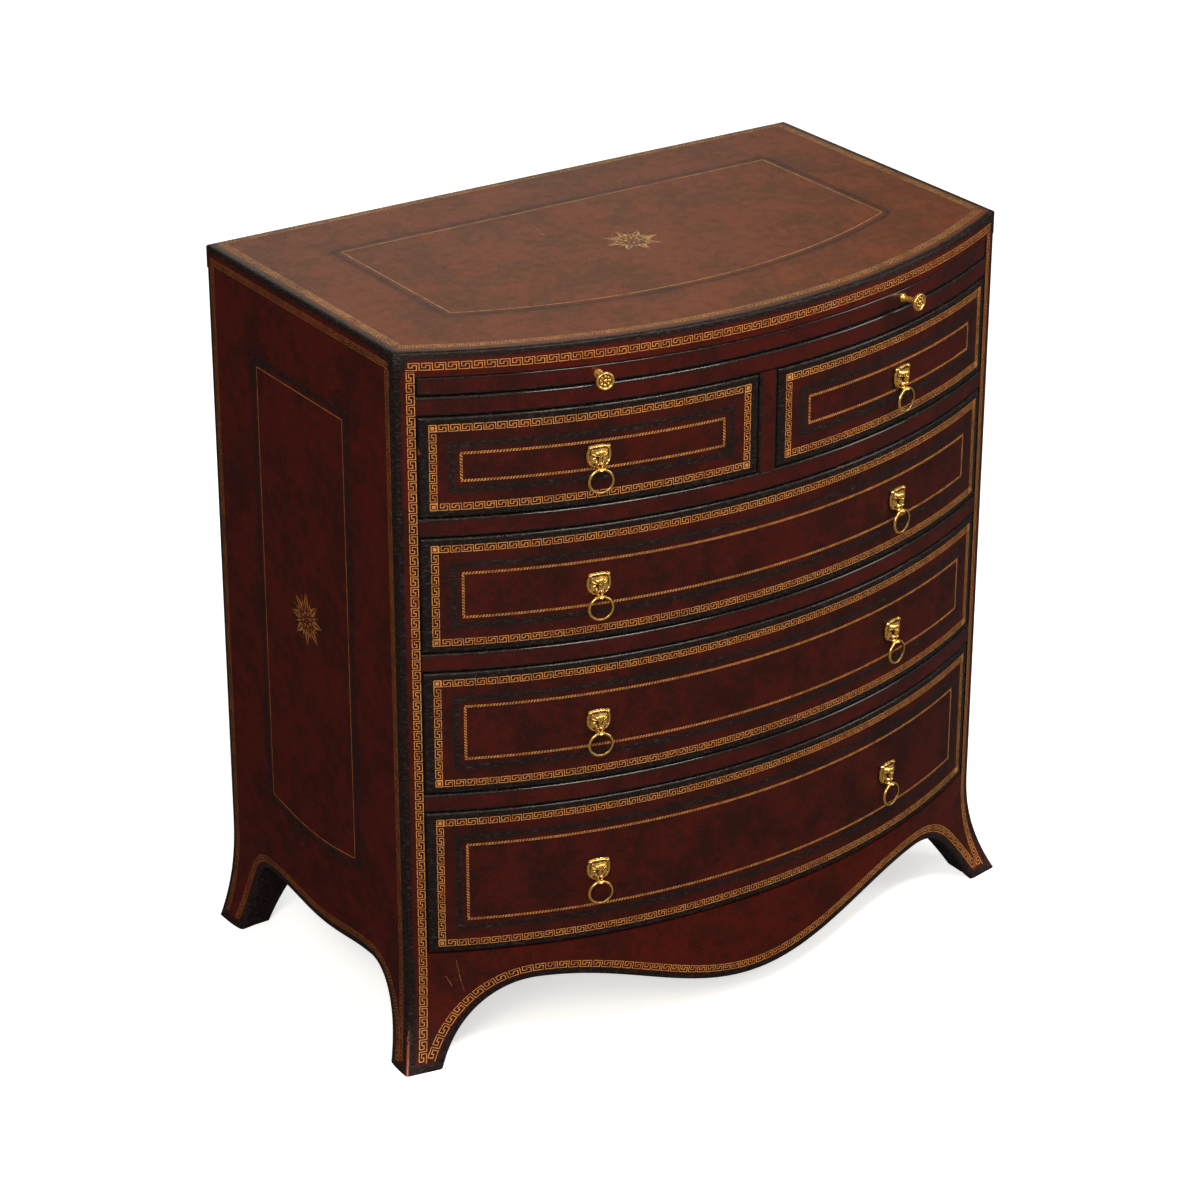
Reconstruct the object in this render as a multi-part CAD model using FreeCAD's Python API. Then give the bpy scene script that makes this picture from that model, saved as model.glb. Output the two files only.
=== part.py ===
import FreeCAD, Part
import math
import os

from FreeCAD import Vector

# Bow front bachelor's chest, leather covered, with a brushing slide and five drawers.
# All lengths are in millimetres. X runs to the right, Y to the back, Z up.
# The origin is on the floor, in the middle of the chest's bounding box.

# Case
case_width = 790.0
case_depth = 396.0
bow_rise = 110.0
top_thickness = 27.0
side_thickness = 16.0
stile_width = 19.8
rail_height = 21.2
rail_depth = 40.0
divider_width = 23.0
dust_thickness = 12.0
bottom_thickness = 16.0
back_thickness = 9.0
back_inset = 2.0
back_rabbet = 10.0
top_ease = 2.5
arris_round = 3.0
edge_ease = 2.0

# Openings in the front, from the floor up
base_height = 132.4
long_opening_heights = (175.8, 146.3, 134.6)
short_opening_height = 114.8
slide_opening_height = 22.3

# Base: apron and splayed bracket feet. The heights are shares of the base's height
base_thickness = 20.0
flare_share = 0.944
front_crest_share = 0.6934
side_crest_share = 0.7062
front_lobe_share = 0.4192
side_lobe_share = 0.068
flare_side = 23.0
flare_front = 31.0
front_wing = 133.0
side_wing_front = 80.0
side_wing_rear = 98.0
back_wing = 106.0
front_toe_width = 41.3
side_toe_width = 38.1
rear_toe_width = 46.0
flare_power = 2.4
arch_power = 2.2
rear_arch_power = 4.0
block_width = 62.0
front_block_depth = 44.0
rear_block_depth = 66.0
arris_bulge_share = 0.45

# Drawers
front_thickness = 20.0
drawer_side_thickness = 12.0
drawer_back_thickness = 12.0
drawer_bottom_thickness = 6.0
front_lap = 8.0
groove_depth = 6.0
groove_height = 8.0
groove_clearance = 0.2
side_drop = 3.0
back_drop = 6.0
back_space = 10.0
front_gap = 1.5
running_clearance = 0.3
drawer_front_ease = 2.3

# Guides and stops
guide_height = 25.0
stop_width = 30.0
stop_height = 6.0
stop_place = 150.0

# Brushing slide
slide_recess = 1.0
slide_lipping = 14.0
slide_back_space = 22.0
slide_edge_ease = 1.5
slide_stop_width = 40.0

# Lion mask pulls
pull_drop = 1.5
mane_radius = 15.5
mane_valley = 1.6
mane_rim = 1.8
mane_shoulder_radius = 11.0
mane_shoulder = 4.8
face_radius = 9.6
face_cheek = 7.2
face_crown_radius = 6.2
face_reach = 10.0
brow_radius = 3.0
brow_length = 15.0
brow_rise = 4.5
brow_reach = 8.0
nose_top = 4.0
nose_root = 11.2
nose_tip = 13.3
nose_drop = 8.5
muzzle_width = 7.0
muzzle_bottom = 15.9
muzzle_back = 3.0
chin_back = 5.6
lip_radius = 3.2
lip_width = 13.0
lip_reach = 9.2
lip_drop = 8.0
ear_radius = 3.4
ear_tip_radius = 2.0
ear_height = 5.6
ear_spread = 10.6
ear_rise = 11.0
post_radius = 2.0
post_clearance = 0.1
post_end = 7.0
nut_width = 8.0
nut_height = 3.5
mane_tufts = 10
bar_sides = 8
face_sides = 12

# Rings
ring_radius = 13.4
ring_wire_radius = 1.6
ring_reach = 9.0
ring_drop = 12.5
ring_clearance = 0.35
ring_sides = 16
ring_section_sides = 8

# Slide knobs
knob_length = 24.0
knob_head_radius = 10.0
knob_head_thickness = 4.0
knob_dish_radius = 7.4
knob_dish_depth = 1.2
knob_boss_radius = 2.2
knob_neck_radius = 3.2
knob_neck_flare = 5.0
knob_foot_radius = 5.0
knob_foot_height = 2.5
knob_tang_radius = 2.0
knob_tang_length = 16.0
knob_sides = 16

# Cut nails in the back panel
nail_count = 6
nail_head = 6.0
nail_head_height = 1.2
nail_shank = 2.6
nail_length = 24.0
nail_inset = 5.0
nail_end_space = 45.0

# Small values for building: how far a cutter runs past a face, and how close is the same place
overrun = 10.0
match = 0.001

# Heights worked out from the openings
half_width = case_width / 2
opening_half = half_width - stile_width
bow_radius = (half_width ** 2 + bow_rise ** 2) / (2 * bow_rise)
corner_y = -(case_depth - bow_rise) / 2
back_y = corner_y + case_depth
bow_centre_y = corner_y - bow_rise + bow_radius
stile_back_y = bow_centre_y - math.sqrt((bow_radius - rail_depth) ** 2 - opening_half ** 2)
panel_back_y = back_y - back_inset
panel_front_y = panel_back_y - back_thickness
runner_rise = front_gap - running_clearance
flare_height = base_height * flare_share
front_crest_height = base_height * front_crest_share
side_crest_height = base_height * side_crest_share
front_lobe_drop = base_height * front_lobe_share
side_lobe_drop = base_height * side_lobe_share

long_bottoms = []
level = base_height
for opening_height in long_opening_heights:
    long_bottoms.append(level)
    level += opening_height + rail_height
short_bottom = level
slide_bottom = short_bottom + short_opening_height + rail_height
top_bottom = slide_bottom + slide_opening_height
case_height = top_bottom + top_thickness

pull_angle = (math.asin(opening_half / bow_radius) + math.asin(divider_width / 2 / bow_radius)) / 2


def bow_y(x, radius):
    """Y of the front curve of the given radius at a distance x from the middle."""
    return bow_centre_y - math.sqrt(radius ** 2 - x ** 2)


def box(x0, x1, y0, y1, z0, z1):
    """A block between two corners."""
    return Part.makeBox(x1 - x0, y1 - y0, z1 - z0, Vector(x0, y0, z0))


def line(a, b):
    """A straight edge."""
    return Part.LineSegment(a, b).toShape()


def bow_edge(x0, x1, radius, z):
    """The arc of the bow from x0 to x1, about the bow's own axis."""
    middle = (x0 + x1) / 2
    points = [Vector(x, bow_y(x, radius), z) for x in (x0, middle, x1)]
    return Part.Arc(*points).toShape()


def bowed_slab(x0, x1, rear_y, radius, z0, z1):
    """A board with straight sides and back and a bowed front edge."""
    front = bow_edge(x0, x1, radius, z0)
    corners = [Vector(x1, rear_y, z0), Vector(x0, rear_y, z0)]
    ends = [front.valueAt(front.LastParameter), front.valueAt(front.FirstParameter)]
    sides = [line(ends[0], corners[0]), line(corners[0], corners[1]), line(corners[1], ends[1])]
    face = Part.Face(Part.Wire(Part.__sortEdges__([front] + sides)))
    return face.extrude(Vector(0, 0, z1 - z0))


def bow_strip(x0, x1, outer, inner, z0, z1):
    """A curved strip of constant thickness between two radii of the bow."""
    front = bow_edge(x0, x1, outer, z0)
    rear = bow_edge(x0, x1, inner, z0)
    left = line(Vector(x0, bow_y(x0, outer), z0), Vector(x0, bow_y(x0, inner), z0))
    right = line(Vector(x1, bow_y(x1, outer), z0), Vector(x1, bow_y(x1, inner), z0))
    face = Part.Face(Part.Wire(Part.__sortEdges__([front, left, rear, right])))
    return face.extrude(Vector(0, 0, z1 - z0))


def on_bow(edge, radius):
    """Whether an edge lies on the front surface of the given radius."""
    points = edge.discretize(3)
    return all(abs(math.hypot(p.x, p.y - bow_centre_y) - radius) < match for p in points)


def is_upright(edge):
    """Whether an edge runs straight up."""
    a, b = edge.discretize(2)
    return math.hypot(a.x - b.x, a.y - b.y) < match


def ease_front(shape, radius, easing, keep=None):
    """Eases the edges of a bowed front face with a bevel, all of them or those that keep picks."""
    edges = [e for e in shape.Edges if on_bow(e, radius) and (keep is None or keep(e))]
    return shape.makeChamfer(easing, edges)


def turn_to(shape, angle):
    """Turns a shape made at the middle of the front about the bow's axis."""
    turned = shape.copy()
    turned.rotate(Vector(0, bow_centre_y, 0), Vector(0, 0, 1), math.degrees(angle))
    return turned


def mirrored(shape):
    """The same shape on the other side of the chest."""
    return shape.mirror(Vector(0, 0, 0), Vector(1, 0, 0))


def top_board():
    """The top, bowed in front, with its corners rounded and its upper edges eased."""
    board = bowed_slab(-half_width, half_width, back_y, bow_radius, top_bottom, case_height)
    upright = [e for e in board.Edges if is_upright(e)]
    board = board.makeFillet(arris_round, upright)
    rim = [e for e in board.Edges if all(abs(p.z - case_height) < match for p in e.discretize(3))]
    return board.makeChamfer(top_ease, rim)


def back_panel():
    """The thin back, let into rabbets in the sides."""
    reach = half_width - side_thickness + back_rabbet
    return box(-reach, reach, panel_front_y, panel_back_y, base_height, top_bottom)


def side_board():
    """The right side, rounded at its back corner and rabbeted for the back panel."""
    inner = half_width - side_thickness
    board = box(inner, half_width, stile_back_y, back_y, base_height, top_bottom)
    corner = [e for e in board.Edges if is_upright(e) and e.CenterOfMass.x > half_width - match]
    corner = [e for e in corner if e.CenterOfMass.y > back_y - match]
    return board.makeFillet(arris_round, corner).cut(back_panel())


def stile():
    """The right front stile, which carries the case's front corner."""
    post = bowed_slab(opening_half, half_width, stile_back_y, bow_radius, base_height, top_bottom)
    front = [e for e in post.Edges if is_upright(e) and on_bow(e, bow_radius)]
    arris = [e for e in front if e.CenterOfMass.x > opening_half + match]
    post = post.makeFillet(arris_round, arris)
    front = [e for e in post.Edges if is_upright(e) and on_bow(e, bow_radius)]
    inner = [e for e in front if e.CenterOfMass.x < opening_half + match]
    return post.makeFillet(edge_ease, inner)


def rail(bottom):
    """A curved rail between two openings, with its front edges eased."""
    top = bottom + rail_height
    strip = bow_strip(-opening_half, opening_half, bow_radius, bow_radius - rail_depth, bottom, top)
    return ease_front(strip, bow_radius, edge_ease, lambda e: not is_upright(e))


def short_drawer_divider():
    """The upright between the two short drawers."""
    half = divider_width / 2
    top = short_bottom + short_opening_height
    strip = bow_strip(-half, half, bow_radius, bow_radius - rail_depth, short_bottom, top)
    return ease_front(strip, bow_radius, edge_ease, is_upright)


def dust_board(opening_bottom):
    """A board behind a rail, set a little above the rail, on which a drawer or the slide runs."""
    reach = half_width - side_thickness
    top = opening_bottom + runner_rise
    return bowed_slab(-reach, reach, panel_front_y, bow_radius - rail_depth, top - dust_thickness, top)


def bottom_board():
    """The case bottom, inside the apron and the feet, on which the lowest drawer runs."""
    reach = half_width - base_thickness
    top = base_height + runner_rise
    rear = back_y - base_thickness
    board = bowed_slab(-reach, reach, rear, bow_radius - base_thickness, top - bottom_thickness, top)
    fitted = [stile(), front_foot(), rear_foot()]
    return board.cut(fitted + [mirrored(piece) for piece in fitted])


def guide_strips():
    """Strips beside the drawers, out to the side boards, and one between the short drawers."""
    outer = half_width - side_thickness
    inner = opening_half - front_gap + running_clearance
    front = stile_back_y
    strips = []
    for bottom in long_bottoms + [short_bottom]:
        z0 = bottom + runner_rise
        strip = box(inner, outer, front, panel_front_y, z0, z0 + guide_height)
        strips += [strip, mirrored(strip)]
    z0 = slide_bottom + runner_rise
    low = box(inner, outer, front, panel_front_y, z0, top_bottom)
    strips += [low, mirrored(low)]
    middle = divider_width / 2 + front_gap - running_clearance
    z0 = short_bottom + runner_rise
    strips.append(bowed_slab(-middle, middle, panel_front_y, bow_radius - rail_depth, z0, z0 + guide_height))
    return strips


def stop_blocks():
    """Blocks on the rails that stop each drawer flush, and two behind the slide."""
    outer = bow_radius - front_thickness - running_clearance
    inner = bow_radius - rail_depth
    near = stop_place - stop_width / 2
    far = stop_place + stop_width / 2
    blocks = []
    for bottom in long_bottoms[1:] + [short_bottom]:
        block = bow_strip(near, far, outer, inner, bottom, bottom + stop_height)
        blocks += [block, mirrored(block)]
    lowest = long_bottoms[0] + runner_rise
    block = bow_strip(near, far, outer, inner, lowest, lowest + stop_height)
    blocks += [block, mirrored(block)]
    half = slide_stop_width / 2
    front = panel_front_y - slide_back_space + running_clearance
    z0 = slide_bottom + runner_rise
    rear_stop = box(stop_place - half, stop_place + half, front, panel_front_y, z0, z0 + dust_thickness)
    return blocks + [rear_stop, mirrored(rear_stop)]


def flare(z):
    """How far the feet have splayed at a height, from 1 on the floor to 0 where the flare starts."""
    return max(0.0, (flare_height - z) / flare_height) ** flare_power


def splayed(point, weight, z):
    """A plan point of the right front foot, moved out with the flare."""
    amount = flare(z) * weight
    return Vector(point.x + amount * flare_side, point.y - amount * flare_front, z)


def spline(points):
    """A smooth edge through a few points."""
    curve = Part.BSplineCurve()
    curve.interpolate(points)
    return curve.toShape()


def outline(points):
    """A closed outline of short straight edges."""
    return Part.makePolygon(points + points[:1])


def closed_solid(faces):
    """The solid that a closed set of flat faces bounds."""
    shell = Part.makeShell(faces)
    shell.sewShape()
    solid = Part.Solid(shell)
    if solid.Volume < 0:
        solid.reverse()
    return solid


def faceted_turn(profile, sides, surface_y, z):
    """A solid turned about an axis out of the front: radius and reach in pairs, its circles faceted."""
    faces = []
    loop = list(zip(profile, profile[1:] + profile[:1]))
    for i in range(sides):
        turns = [2 * math.pi * (i + step) / sides for step in (0, 1)]
        for (r0, out0), (r1, out1) in loop:
            if r0 + r1 < match:
                continue
            ring = [(r0, out0, turns[0]), (r1, out1, turns[0]), (r1, out1, turns[1]), (r0, out0, turns[1])]
            points = [Vector(r * math.cos(a), surface_y - out, z + r * math.sin(a)) for r, out, a in ring]
            points = [p for k, p in enumerate(points) if (p - points[k - 1]).Length > match]
            faces.append(Part.Face(outline(points)))
    return closed_solid(faces).removeSplitter()


def front_weight(share):
    """How much of the corner's splay the front wing has, by share of its length."""
    return (1.0 - share) ** 1.5


def side_weight(share):
    """How much of the corner's splay a side wing has: nearly all at the toe, none at its end."""
    return 1.0 - 5 * share ** 4 + 4 * share ** 5


def front_foot_section(z):
    """The plan outline of the right front foot at a height: two wings that meet on a corner block."""
    inner_radius = bow_radius - base_thickness
    inner_x = half_width - base_thickness
    inner_corner_y = bow_y(inner_x, inner_radius)
    wing_end = half_width - front_wing
    side_end = corner_y + side_wing_front
    shares = (0.0, 0.25, 0.5, 0.75, 1.0)
    front_free = (block_width - base_thickness) / (front_wing - base_thickness)
    side_free = (corner_y + front_block_depth - inner_corner_y) / (side_end - inner_corner_y)

    def front_outer(share):
        x = half_width - share * front_wing
        return splayed(Vector(x, bow_y(x, bow_radius), z), front_weight(share), z)

    def front_inner(share):
        x = inner_x + share * (wing_end - inner_x)
        return splayed(Vector(x, bow_y(x, inner_radius), z), front_weight(share), z)

    def side_outer(share):
        return splayed(Vector(half_width, corner_y + share * side_wing_front, z), side_weight(share), z)

    def side_inner(share):
        y = inner_corner_y + share * (side_end - inner_corner_y)
        return splayed(Vector(inner_x, y, z), side_weight(share), z)

    front_start = arris_round / front_wing
    side_start = arris_round / side_wing_front
    f = [front_outer(max(s, front_start)) for s in shares]
    s = [side_outer(max(s, side_start)) for s in shares]
    chord = (f[0] + s[0]) / 2
    bulge = chord + (front_outer(0.0) - chord) * arris_bulge_share
    fi = [front_inner(front_free + share * (1.0 - front_free)) for share in shares]
    si = [side_inner(side_free + share * (1.0 - side_free)) for share in shares]
    block_corner = Vector(fi[0].x, si[0].y, z)
    return outline([bulge] + s + si[::-1] + [block_corner] + fi + f[::-1])


def rear_foot_section(z):
    """The plan outline of the right rear foot at a height. It splays to the side only."""
    inner_x = half_width - base_thickness
    inner_y = back_y - base_thickness
    side_end = back_y - side_wing_rear
    shares = (0.0, 0.25, 0.5, 0.75, 1.0)

    def moved(x, y, weight):
        return Vector(x + flare(z) * weight * flare_side, y, z)

    start = arris_round / side_wing_rear
    free = (rear_block_depth - base_thickness) / (side_wing_rear - base_thickness)
    inner_shares = [free + share * (1.0 - free) for share in shares]
    outer = [moved(half_width, back_y - max(s, start) * side_wing_rear, side_weight(s)) for s in shares]
    inner = [moved(inner_x, inner_y + s * (side_end - inner_y), side_weight(s)) for s in inner_shares]
    corner = moved(half_width, back_y, 1.0)
    back_start = Vector(corner.x - arris_round, back_y, z)
    back_end = Vector(half_width - back_wing, back_y, z)
    chord = (outer[0] + back_start) / 2
    bulge = chord + (corner - chord) * arris_bulge_share
    inner_end = Vector(back_end.x, inner_y, z)
    block_corner = Vector(half_width - block_width, inner[0].y, z)
    block_end = Vector(block_corner.x, inner_y, z)
    inside = inner[::-1] + [block_corner, block_end, inner_end]
    return outline([bulge] + outer + inside + [back_end, back_start])


def foot_body(section):
    """A foot lofted through its outlines from the floor to the top of the base."""
    shares = (0.0, 0.12, 0.26, 0.42, 0.62, 1.0)
    heights = [share * flare_height for share in shares] + [base_height]
    return Part.makeLoft([section(z) for z in heights], True, True)


def arch_points(toe, crest, crest_height, power):
    """Places along the curve from a foot's toe up to the crest of the apron, with their heights."""
    shares = (0.0, 0.08, 0.17, 0.27, 0.38, 0.5, 0.63, 0.76, 0.88, 1.0)
    places = []
    for share in shares:
        along = crest + (toe - crest) * (1.0 - share)
        places.append((along, crest_height * (1.0 - (1.0 - share) ** power)))
    return places


def arch_outline(toe, crest, crest_height, power):
    """The space under a wing, seen square on: distance along and height."""
    past = crest + math.copysign(overrun, crest - toe)
    places = arch_points(toe, crest, crest_height, power)
    return places + [(past, crest_height), (past, -overrun), (toe, -overrun)]


def front_arch_cutter(toe, crest, crest_height, y0, y1):
    """The space under a wing that runs along X, between two depths."""
    points = [Vector(x, y0, z) for x, z in arch_outline(toe, crest, crest_height, arch_power)]
    return Part.Face(outline(points)).extrude(Vector(0, y1 - y0, 0))


def side_arch_cutter(toe, crest, crest_height, power, x0):
    """The space under a wing that runs along Y, from a width to outside the foot."""
    points = [Vector(x0, y, z) for y, z in arch_outline(toe, crest, crest_height, power)]
    return Part.Face(outline(points)).extrude(Vector(half_width + flare_side + overrun - x0, 0, 0))


def front_foot():
    """The right front foot, splayed forwards and to the side. Both arches run on through its corner block."""
    body = foot_body(front_foot_section)
    toe_x = half_width + flare_side - front_toe_width
    crest_x = half_width - front_wing
    front = bow_y(crest_x, bow_radius) - flare_front - overrun
    rear = corner_y + front_block_depth + overrun
    body = body.cut(front_arch_cutter(toe_x, crest_x, front_crest_height, front, rear))
    toe_y = corner_y - flare_front + side_toe_width
    crest_y = corner_y + side_wing_front
    inner = half_width - block_width - overrun
    return body.cut(side_arch_cutter(toe_y, crest_y, side_crest_height, arch_power, inner))


def rear_foot():
    """The right rear foot, splayed to the side and flat at the back."""
    body = foot_body(rear_foot_section)
    toe_y = back_y - rear_toe_width
    crest_y = back_y - side_wing_rear
    inner = half_width - block_width - overrun
    body = body.cut(side_arch_cutter(toe_y, crest_y, side_crest_height, rear_arch_power, inner))
    toe_x = half_width + flare_side - front_toe_width
    crest_x = half_width - back_wing
    rear = back_y + overrun
    start = back_y - rear_block_depth - overrun
    return body.cut(front_arch_cutter(toe_x, crest_x, side_crest_height, start, rear))


def lobe_points(half_length, crest_height, drop):
    """Places along a lobe that hangs down in the middle between two crests."""
    shares = (-1.0, -0.8, -0.6, -0.4, -0.2, 0.0, 0.2, 0.4, 0.6, 0.8, 1.0)
    hang = [drop * (1.0 + math.cos(math.pi * share)) / 2 for share in shares]
    return [(share * half_length, crest_height - fall) for share, fall in zip(shares, hang)]


def front_apron():
    """The serpentine apron under the lowest drawer, curved with the bow."""
    reach = half_width - front_wing
    y0 = corner_y - bow_rise - overrun
    curve = spline([Vector(x, y0, z) for x, z in lobe_points(reach, front_crest_height, front_lobe_drop)])
    top = [Vector(reach, y0, base_height), Vector(-reach, y0, base_height)]
    ends = [Vector(reach, y0, front_crest_height), Vector(-reach, y0, front_crest_height)]
    edges = [curve, line(ends[0], top[0]), line(top[0], top[1]), line(top[1], ends[1])]
    sheet = Part.Face(Part.Wire(edges)).extrude(Vector(0, case_depth, 0))
    strip = bow_strip(-reach, reach, bow_radius, bow_radius - base_thickness, 0, base_height)
    return strip.common(sheet)


def side_apron():
    """The right side apron, with a shallow lobe between the feet."""
    y0 = corner_y + side_wing_front
    y1 = back_y - side_wing_rear
    middle = (y0 + y1) / 2
    x0 = half_width - base_thickness
    places = lobe_points((y1 - y0) / 2, side_crest_height, side_lobe_drop)
    curve = spline([Vector(x0, middle + along, z) for along, z in places])
    top = [Vector(x0, y1, base_height), Vector(x0, y0, base_height)]
    ends = [Vector(x0, y1, side_crest_height), Vector(x0, y0, side_crest_height)]
    edges = [curve, line(ends[0], top[0]), line(top[0], top[1]), line(top[1], ends[1])]
    return Part.Face(Part.Wire(edges)).extrude(Vector(base_thickness, 0, 0))


def back_apron():
    """The plain apron between the rear feet."""
    reach = half_width - back_wing
    return box(-reach, reach, back_y - base_thickness, back_y, side_crest_height, base_height)


def back_nail(x, z):
    """A square cut nail through the back panel into a side, its head on the panel."""
    head = nail_head / 2
    shank = nail_shank / 2
    top = box(x - head, x + head, panel_back_y, panel_back_y + nail_head_height, z - head, z + head)
    body = box(x - shank, x + shank, panel_back_y - nail_length, panel_back_y, z - shank, z + shank)
    return top.fuse(body)


def back_nails():
    """The nails down both edges of the back panel."""
    x = half_width - side_thickness + nail_inset
    low = base_height + nail_end_space
    step = (top_bottom - nail_end_space - low) / (nail_count - 1)
    return [back_nail(side * x, low + step * i) for side in (-1, 1) for i in range(nail_count)]


def slide_limits():
    """The width limit, the rear edge and the two heights of the slide."""
    reach = opening_half - front_gap
    rear = panel_front_y - slide_back_space
    return reach, rear, slide_bottom + front_gap, top_bottom - front_gap


def knob_profile():
    """Half of the knob's outline: radius and distance out from the slide's front."""
    head_back = knob_length - knob_head_thickness
    return [
        (0.0, -knob_tang_length),
        (knob_tang_radius, -knob_tang_length),
        (knob_tang_radius, 0.0),
        (knob_foot_radius, 0.0),
        (knob_neck_radius, knob_foot_height),
        (knob_neck_radius, head_back - knob_neck_flare),
        (knob_head_radius, head_back + knob_dish_depth),
        (knob_head_radius, knob_length - knob_dish_depth),
        (knob_dish_radius, knob_length),
        (knob_dish_radius, knob_length - knob_dish_depth),
        (knob_boss_radius, knob_length - knob_dish_depth),
        (knob_boss_radius, knob_length),
        (0.0, knob_length),
    ]


def slide_knob():
    """A turned knob with a dished head, at the middle of the slide's front."""
    surface_y = bow_centre_y - bow_radius + slide_recess
    z = (slide_bottom + top_bottom) / 2
    return faceted_turn(knob_profile(), knob_sides, surface_y, z)


def slide_nodes():
    """The brushing slide: its board, the curved lipping on its front, and its two knobs."""
    reach, rear, z0, z1 = slide_limits()
    outer = bow_radius - slide_recess
    inner = outer - slide_lipping
    board = bowed_slab(-reach, reach, rear, inner, z0, z1)
    lipping = bow_strip(-reach, reach, outer, inner, z0, z1)
    lipping = ease_front(lipping, outer, slide_edge_ease, lambda e: not is_upright(e))
    knobs = [turn_to(slide_knob(), side * pull_angle) for side in (-1, 1)]
    for knob in knobs:
        board = board.cut(knob)
        lipping = lipping.cut(knob)
    return {"slide_board": [board], "slide_lipping": [lipping], "slide_knobs": knobs}


def pull_place():
    """Y of the drawer front's surface at the middle of the bow, where a pull is made."""
    return bow_centre_y - bow_radius


def ring_of_points(count, radii, x, y, z):
    """Points round an axis that runs out of the front, their radii taken in turn."""
    points = []
    for i in range(count):
        angle = 2 * math.pi * i / count
        radius = radii[i % len(radii)]
        points.append(Vector(x + radius * math.cos(angle), y, z + radius * math.sin(angle)))
    return points


def frustum(count, rear_radii, front_radii, rear_y, front_y, z, x=0.0):
    """A solid between two outlines of the same number of points and the same shape, one behind the other."""
    rear = ring_of_points(count, rear_radii, x, rear_y, z)
    front = ring_of_points(count, front_radii, x, front_y, z)
    faces = [Part.Face(outline(rear)), Part.Face(outline(front))]
    for i in range(count):
        faces.append(Part.Face(outline([rear[i - 1], rear[i], front[i], front[i - 1]])))
    return closed_solid(faces)


def mane(z):
    """The mane: a rim of pointed tufts, flat at the back, that rises to a shoulder."""
    y = pull_place()
    count = 2 * mane_tufts
    valley_share = 1.0 - mane_valley / mane_radius
    edge = (mane_radius, mane_radius * valley_share)
    shoulder = (mane_shoulder_radius, mane_shoulder_radius * valley_share)
    rim = frustum(count, edge, edge, y, y - mane_rim, z)
    crown = frustum(count, edge, shoulder, y - mane_rim, y - mane_shoulder, z)
    return rim.fuse(crown)


def face(z):
    """The lion's face: a broad dome in two steps."""
    y = pull_place()
    cheeks = frustum(face_sides, (face_radius,), (face_radius,), y, y - face_cheek, z)
    crown = frustum(face_sides, (face_radius,), (face_crown_radius,), y - face_cheek, y - face_reach, z)
    return cheeks.fuse(crown)


def muzzle(z):
    """The long nose and chin, seen from the side as one outline."""
    y = pull_place()
    corners = [
        (muzzle_back, nose_top),
        (nose_root, nose_top),
        (nose_tip, -nose_drop),
        (nose_tip, -muzzle_bottom + mane_rim),
        (nose_tip - mane_rim, -muzzle_bottom),
        (chin_back, -muzzle_bottom),
        (muzzle_back, -ring_drop),
    ]
    half = muzzle_width / 2
    points = [Vector(-half, y - out, z + up) for out, up in corners]
    return Part.Face(outline(points)).extrude(Vector(muzzle_width, 0, 0))


def across(radius, length, out, z):
    """A faceted bar that runs across the mask."""
    y = pull_place() - out
    angles = [2 * math.pi * i / bar_sides for i in range(bar_sides)]
    points = [Vector(-length / 2, y + radius * math.cos(a), z + radius * math.sin(a)) for a in angles]
    return Part.Face(outline(points)).extrude(Vector(length, 0, 0))


def post(radius, rear_y, front_y, z):
    """A straight round post out of the front, faceted."""
    return frustum(bar_sides, (radius,), (radius,), rear_y, front_y, z)


def ear(side, z):
    """One of the two ears, at the mane's upper corners."""
    y = pull_place()
    x = side * ear_spread
    return frustum(bar_sides, (ear_radius,), (ear_tip_radius,), y, y - ear_height, z + ear_rise, x)


def lion_mask(z):
    """A cast lion mask with its mouth bored for the ring and a post through the drawer front."""
    brow = across(brow_radius, brow_length, brow_reach, z + brow_rise)
    lip = across(lip_radius, lip_width, lip_reach, z - lip_drop)
    stud = post(post_radius, pull_place() + front_thickness + post_end, pull_place(), z)
    sagitta = ring_radius - math.sqrt(ring_radius ** 2 - (muzzle_width / 2) ** 2)
    bore_radius = (ring_wire_radius + sagitta + ring_clearance) / math.cos(math.pi / bar_sides)
    bore = across(bore_radius, lip_width, ring_reach, z - ring_drop)
    mask = mane(z).fuse([face(z), brow, lip, muzzle(z), stud, ear(-1, z), ear(1, z)]).cut(bore)
    return mask.removeSplitter()


def nut(z):
    """The hexagon nut on a mask's post, against the hollow inside of the drawer front."""
    corner = nut_width / math.sqrt(3)
    y = bow_y(corner, bow_radius - front_thickness)
    prism = frustum(6, (corner,), (corner,), y, y + nut_height, z)
    return prism.cut(post(post_radius, y + nut_height, y, z))


def pull_ring(z):
    """A ring that hangs from the lion's mouth, its wire faceted all round."""
    angles = [2 * math.pi * (i + 0.5) / ring_section_sides for i in range(ring_section_sides)]
    section = [(ring_radius + ring_wire_radius * math.cos(a), ring_wire_radius * math.sin(a)) for a in angles]
    return faceted_turn(section, ring_sides, pull_place() - ring_reach, z - ring_drop - ring_radius)


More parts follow.
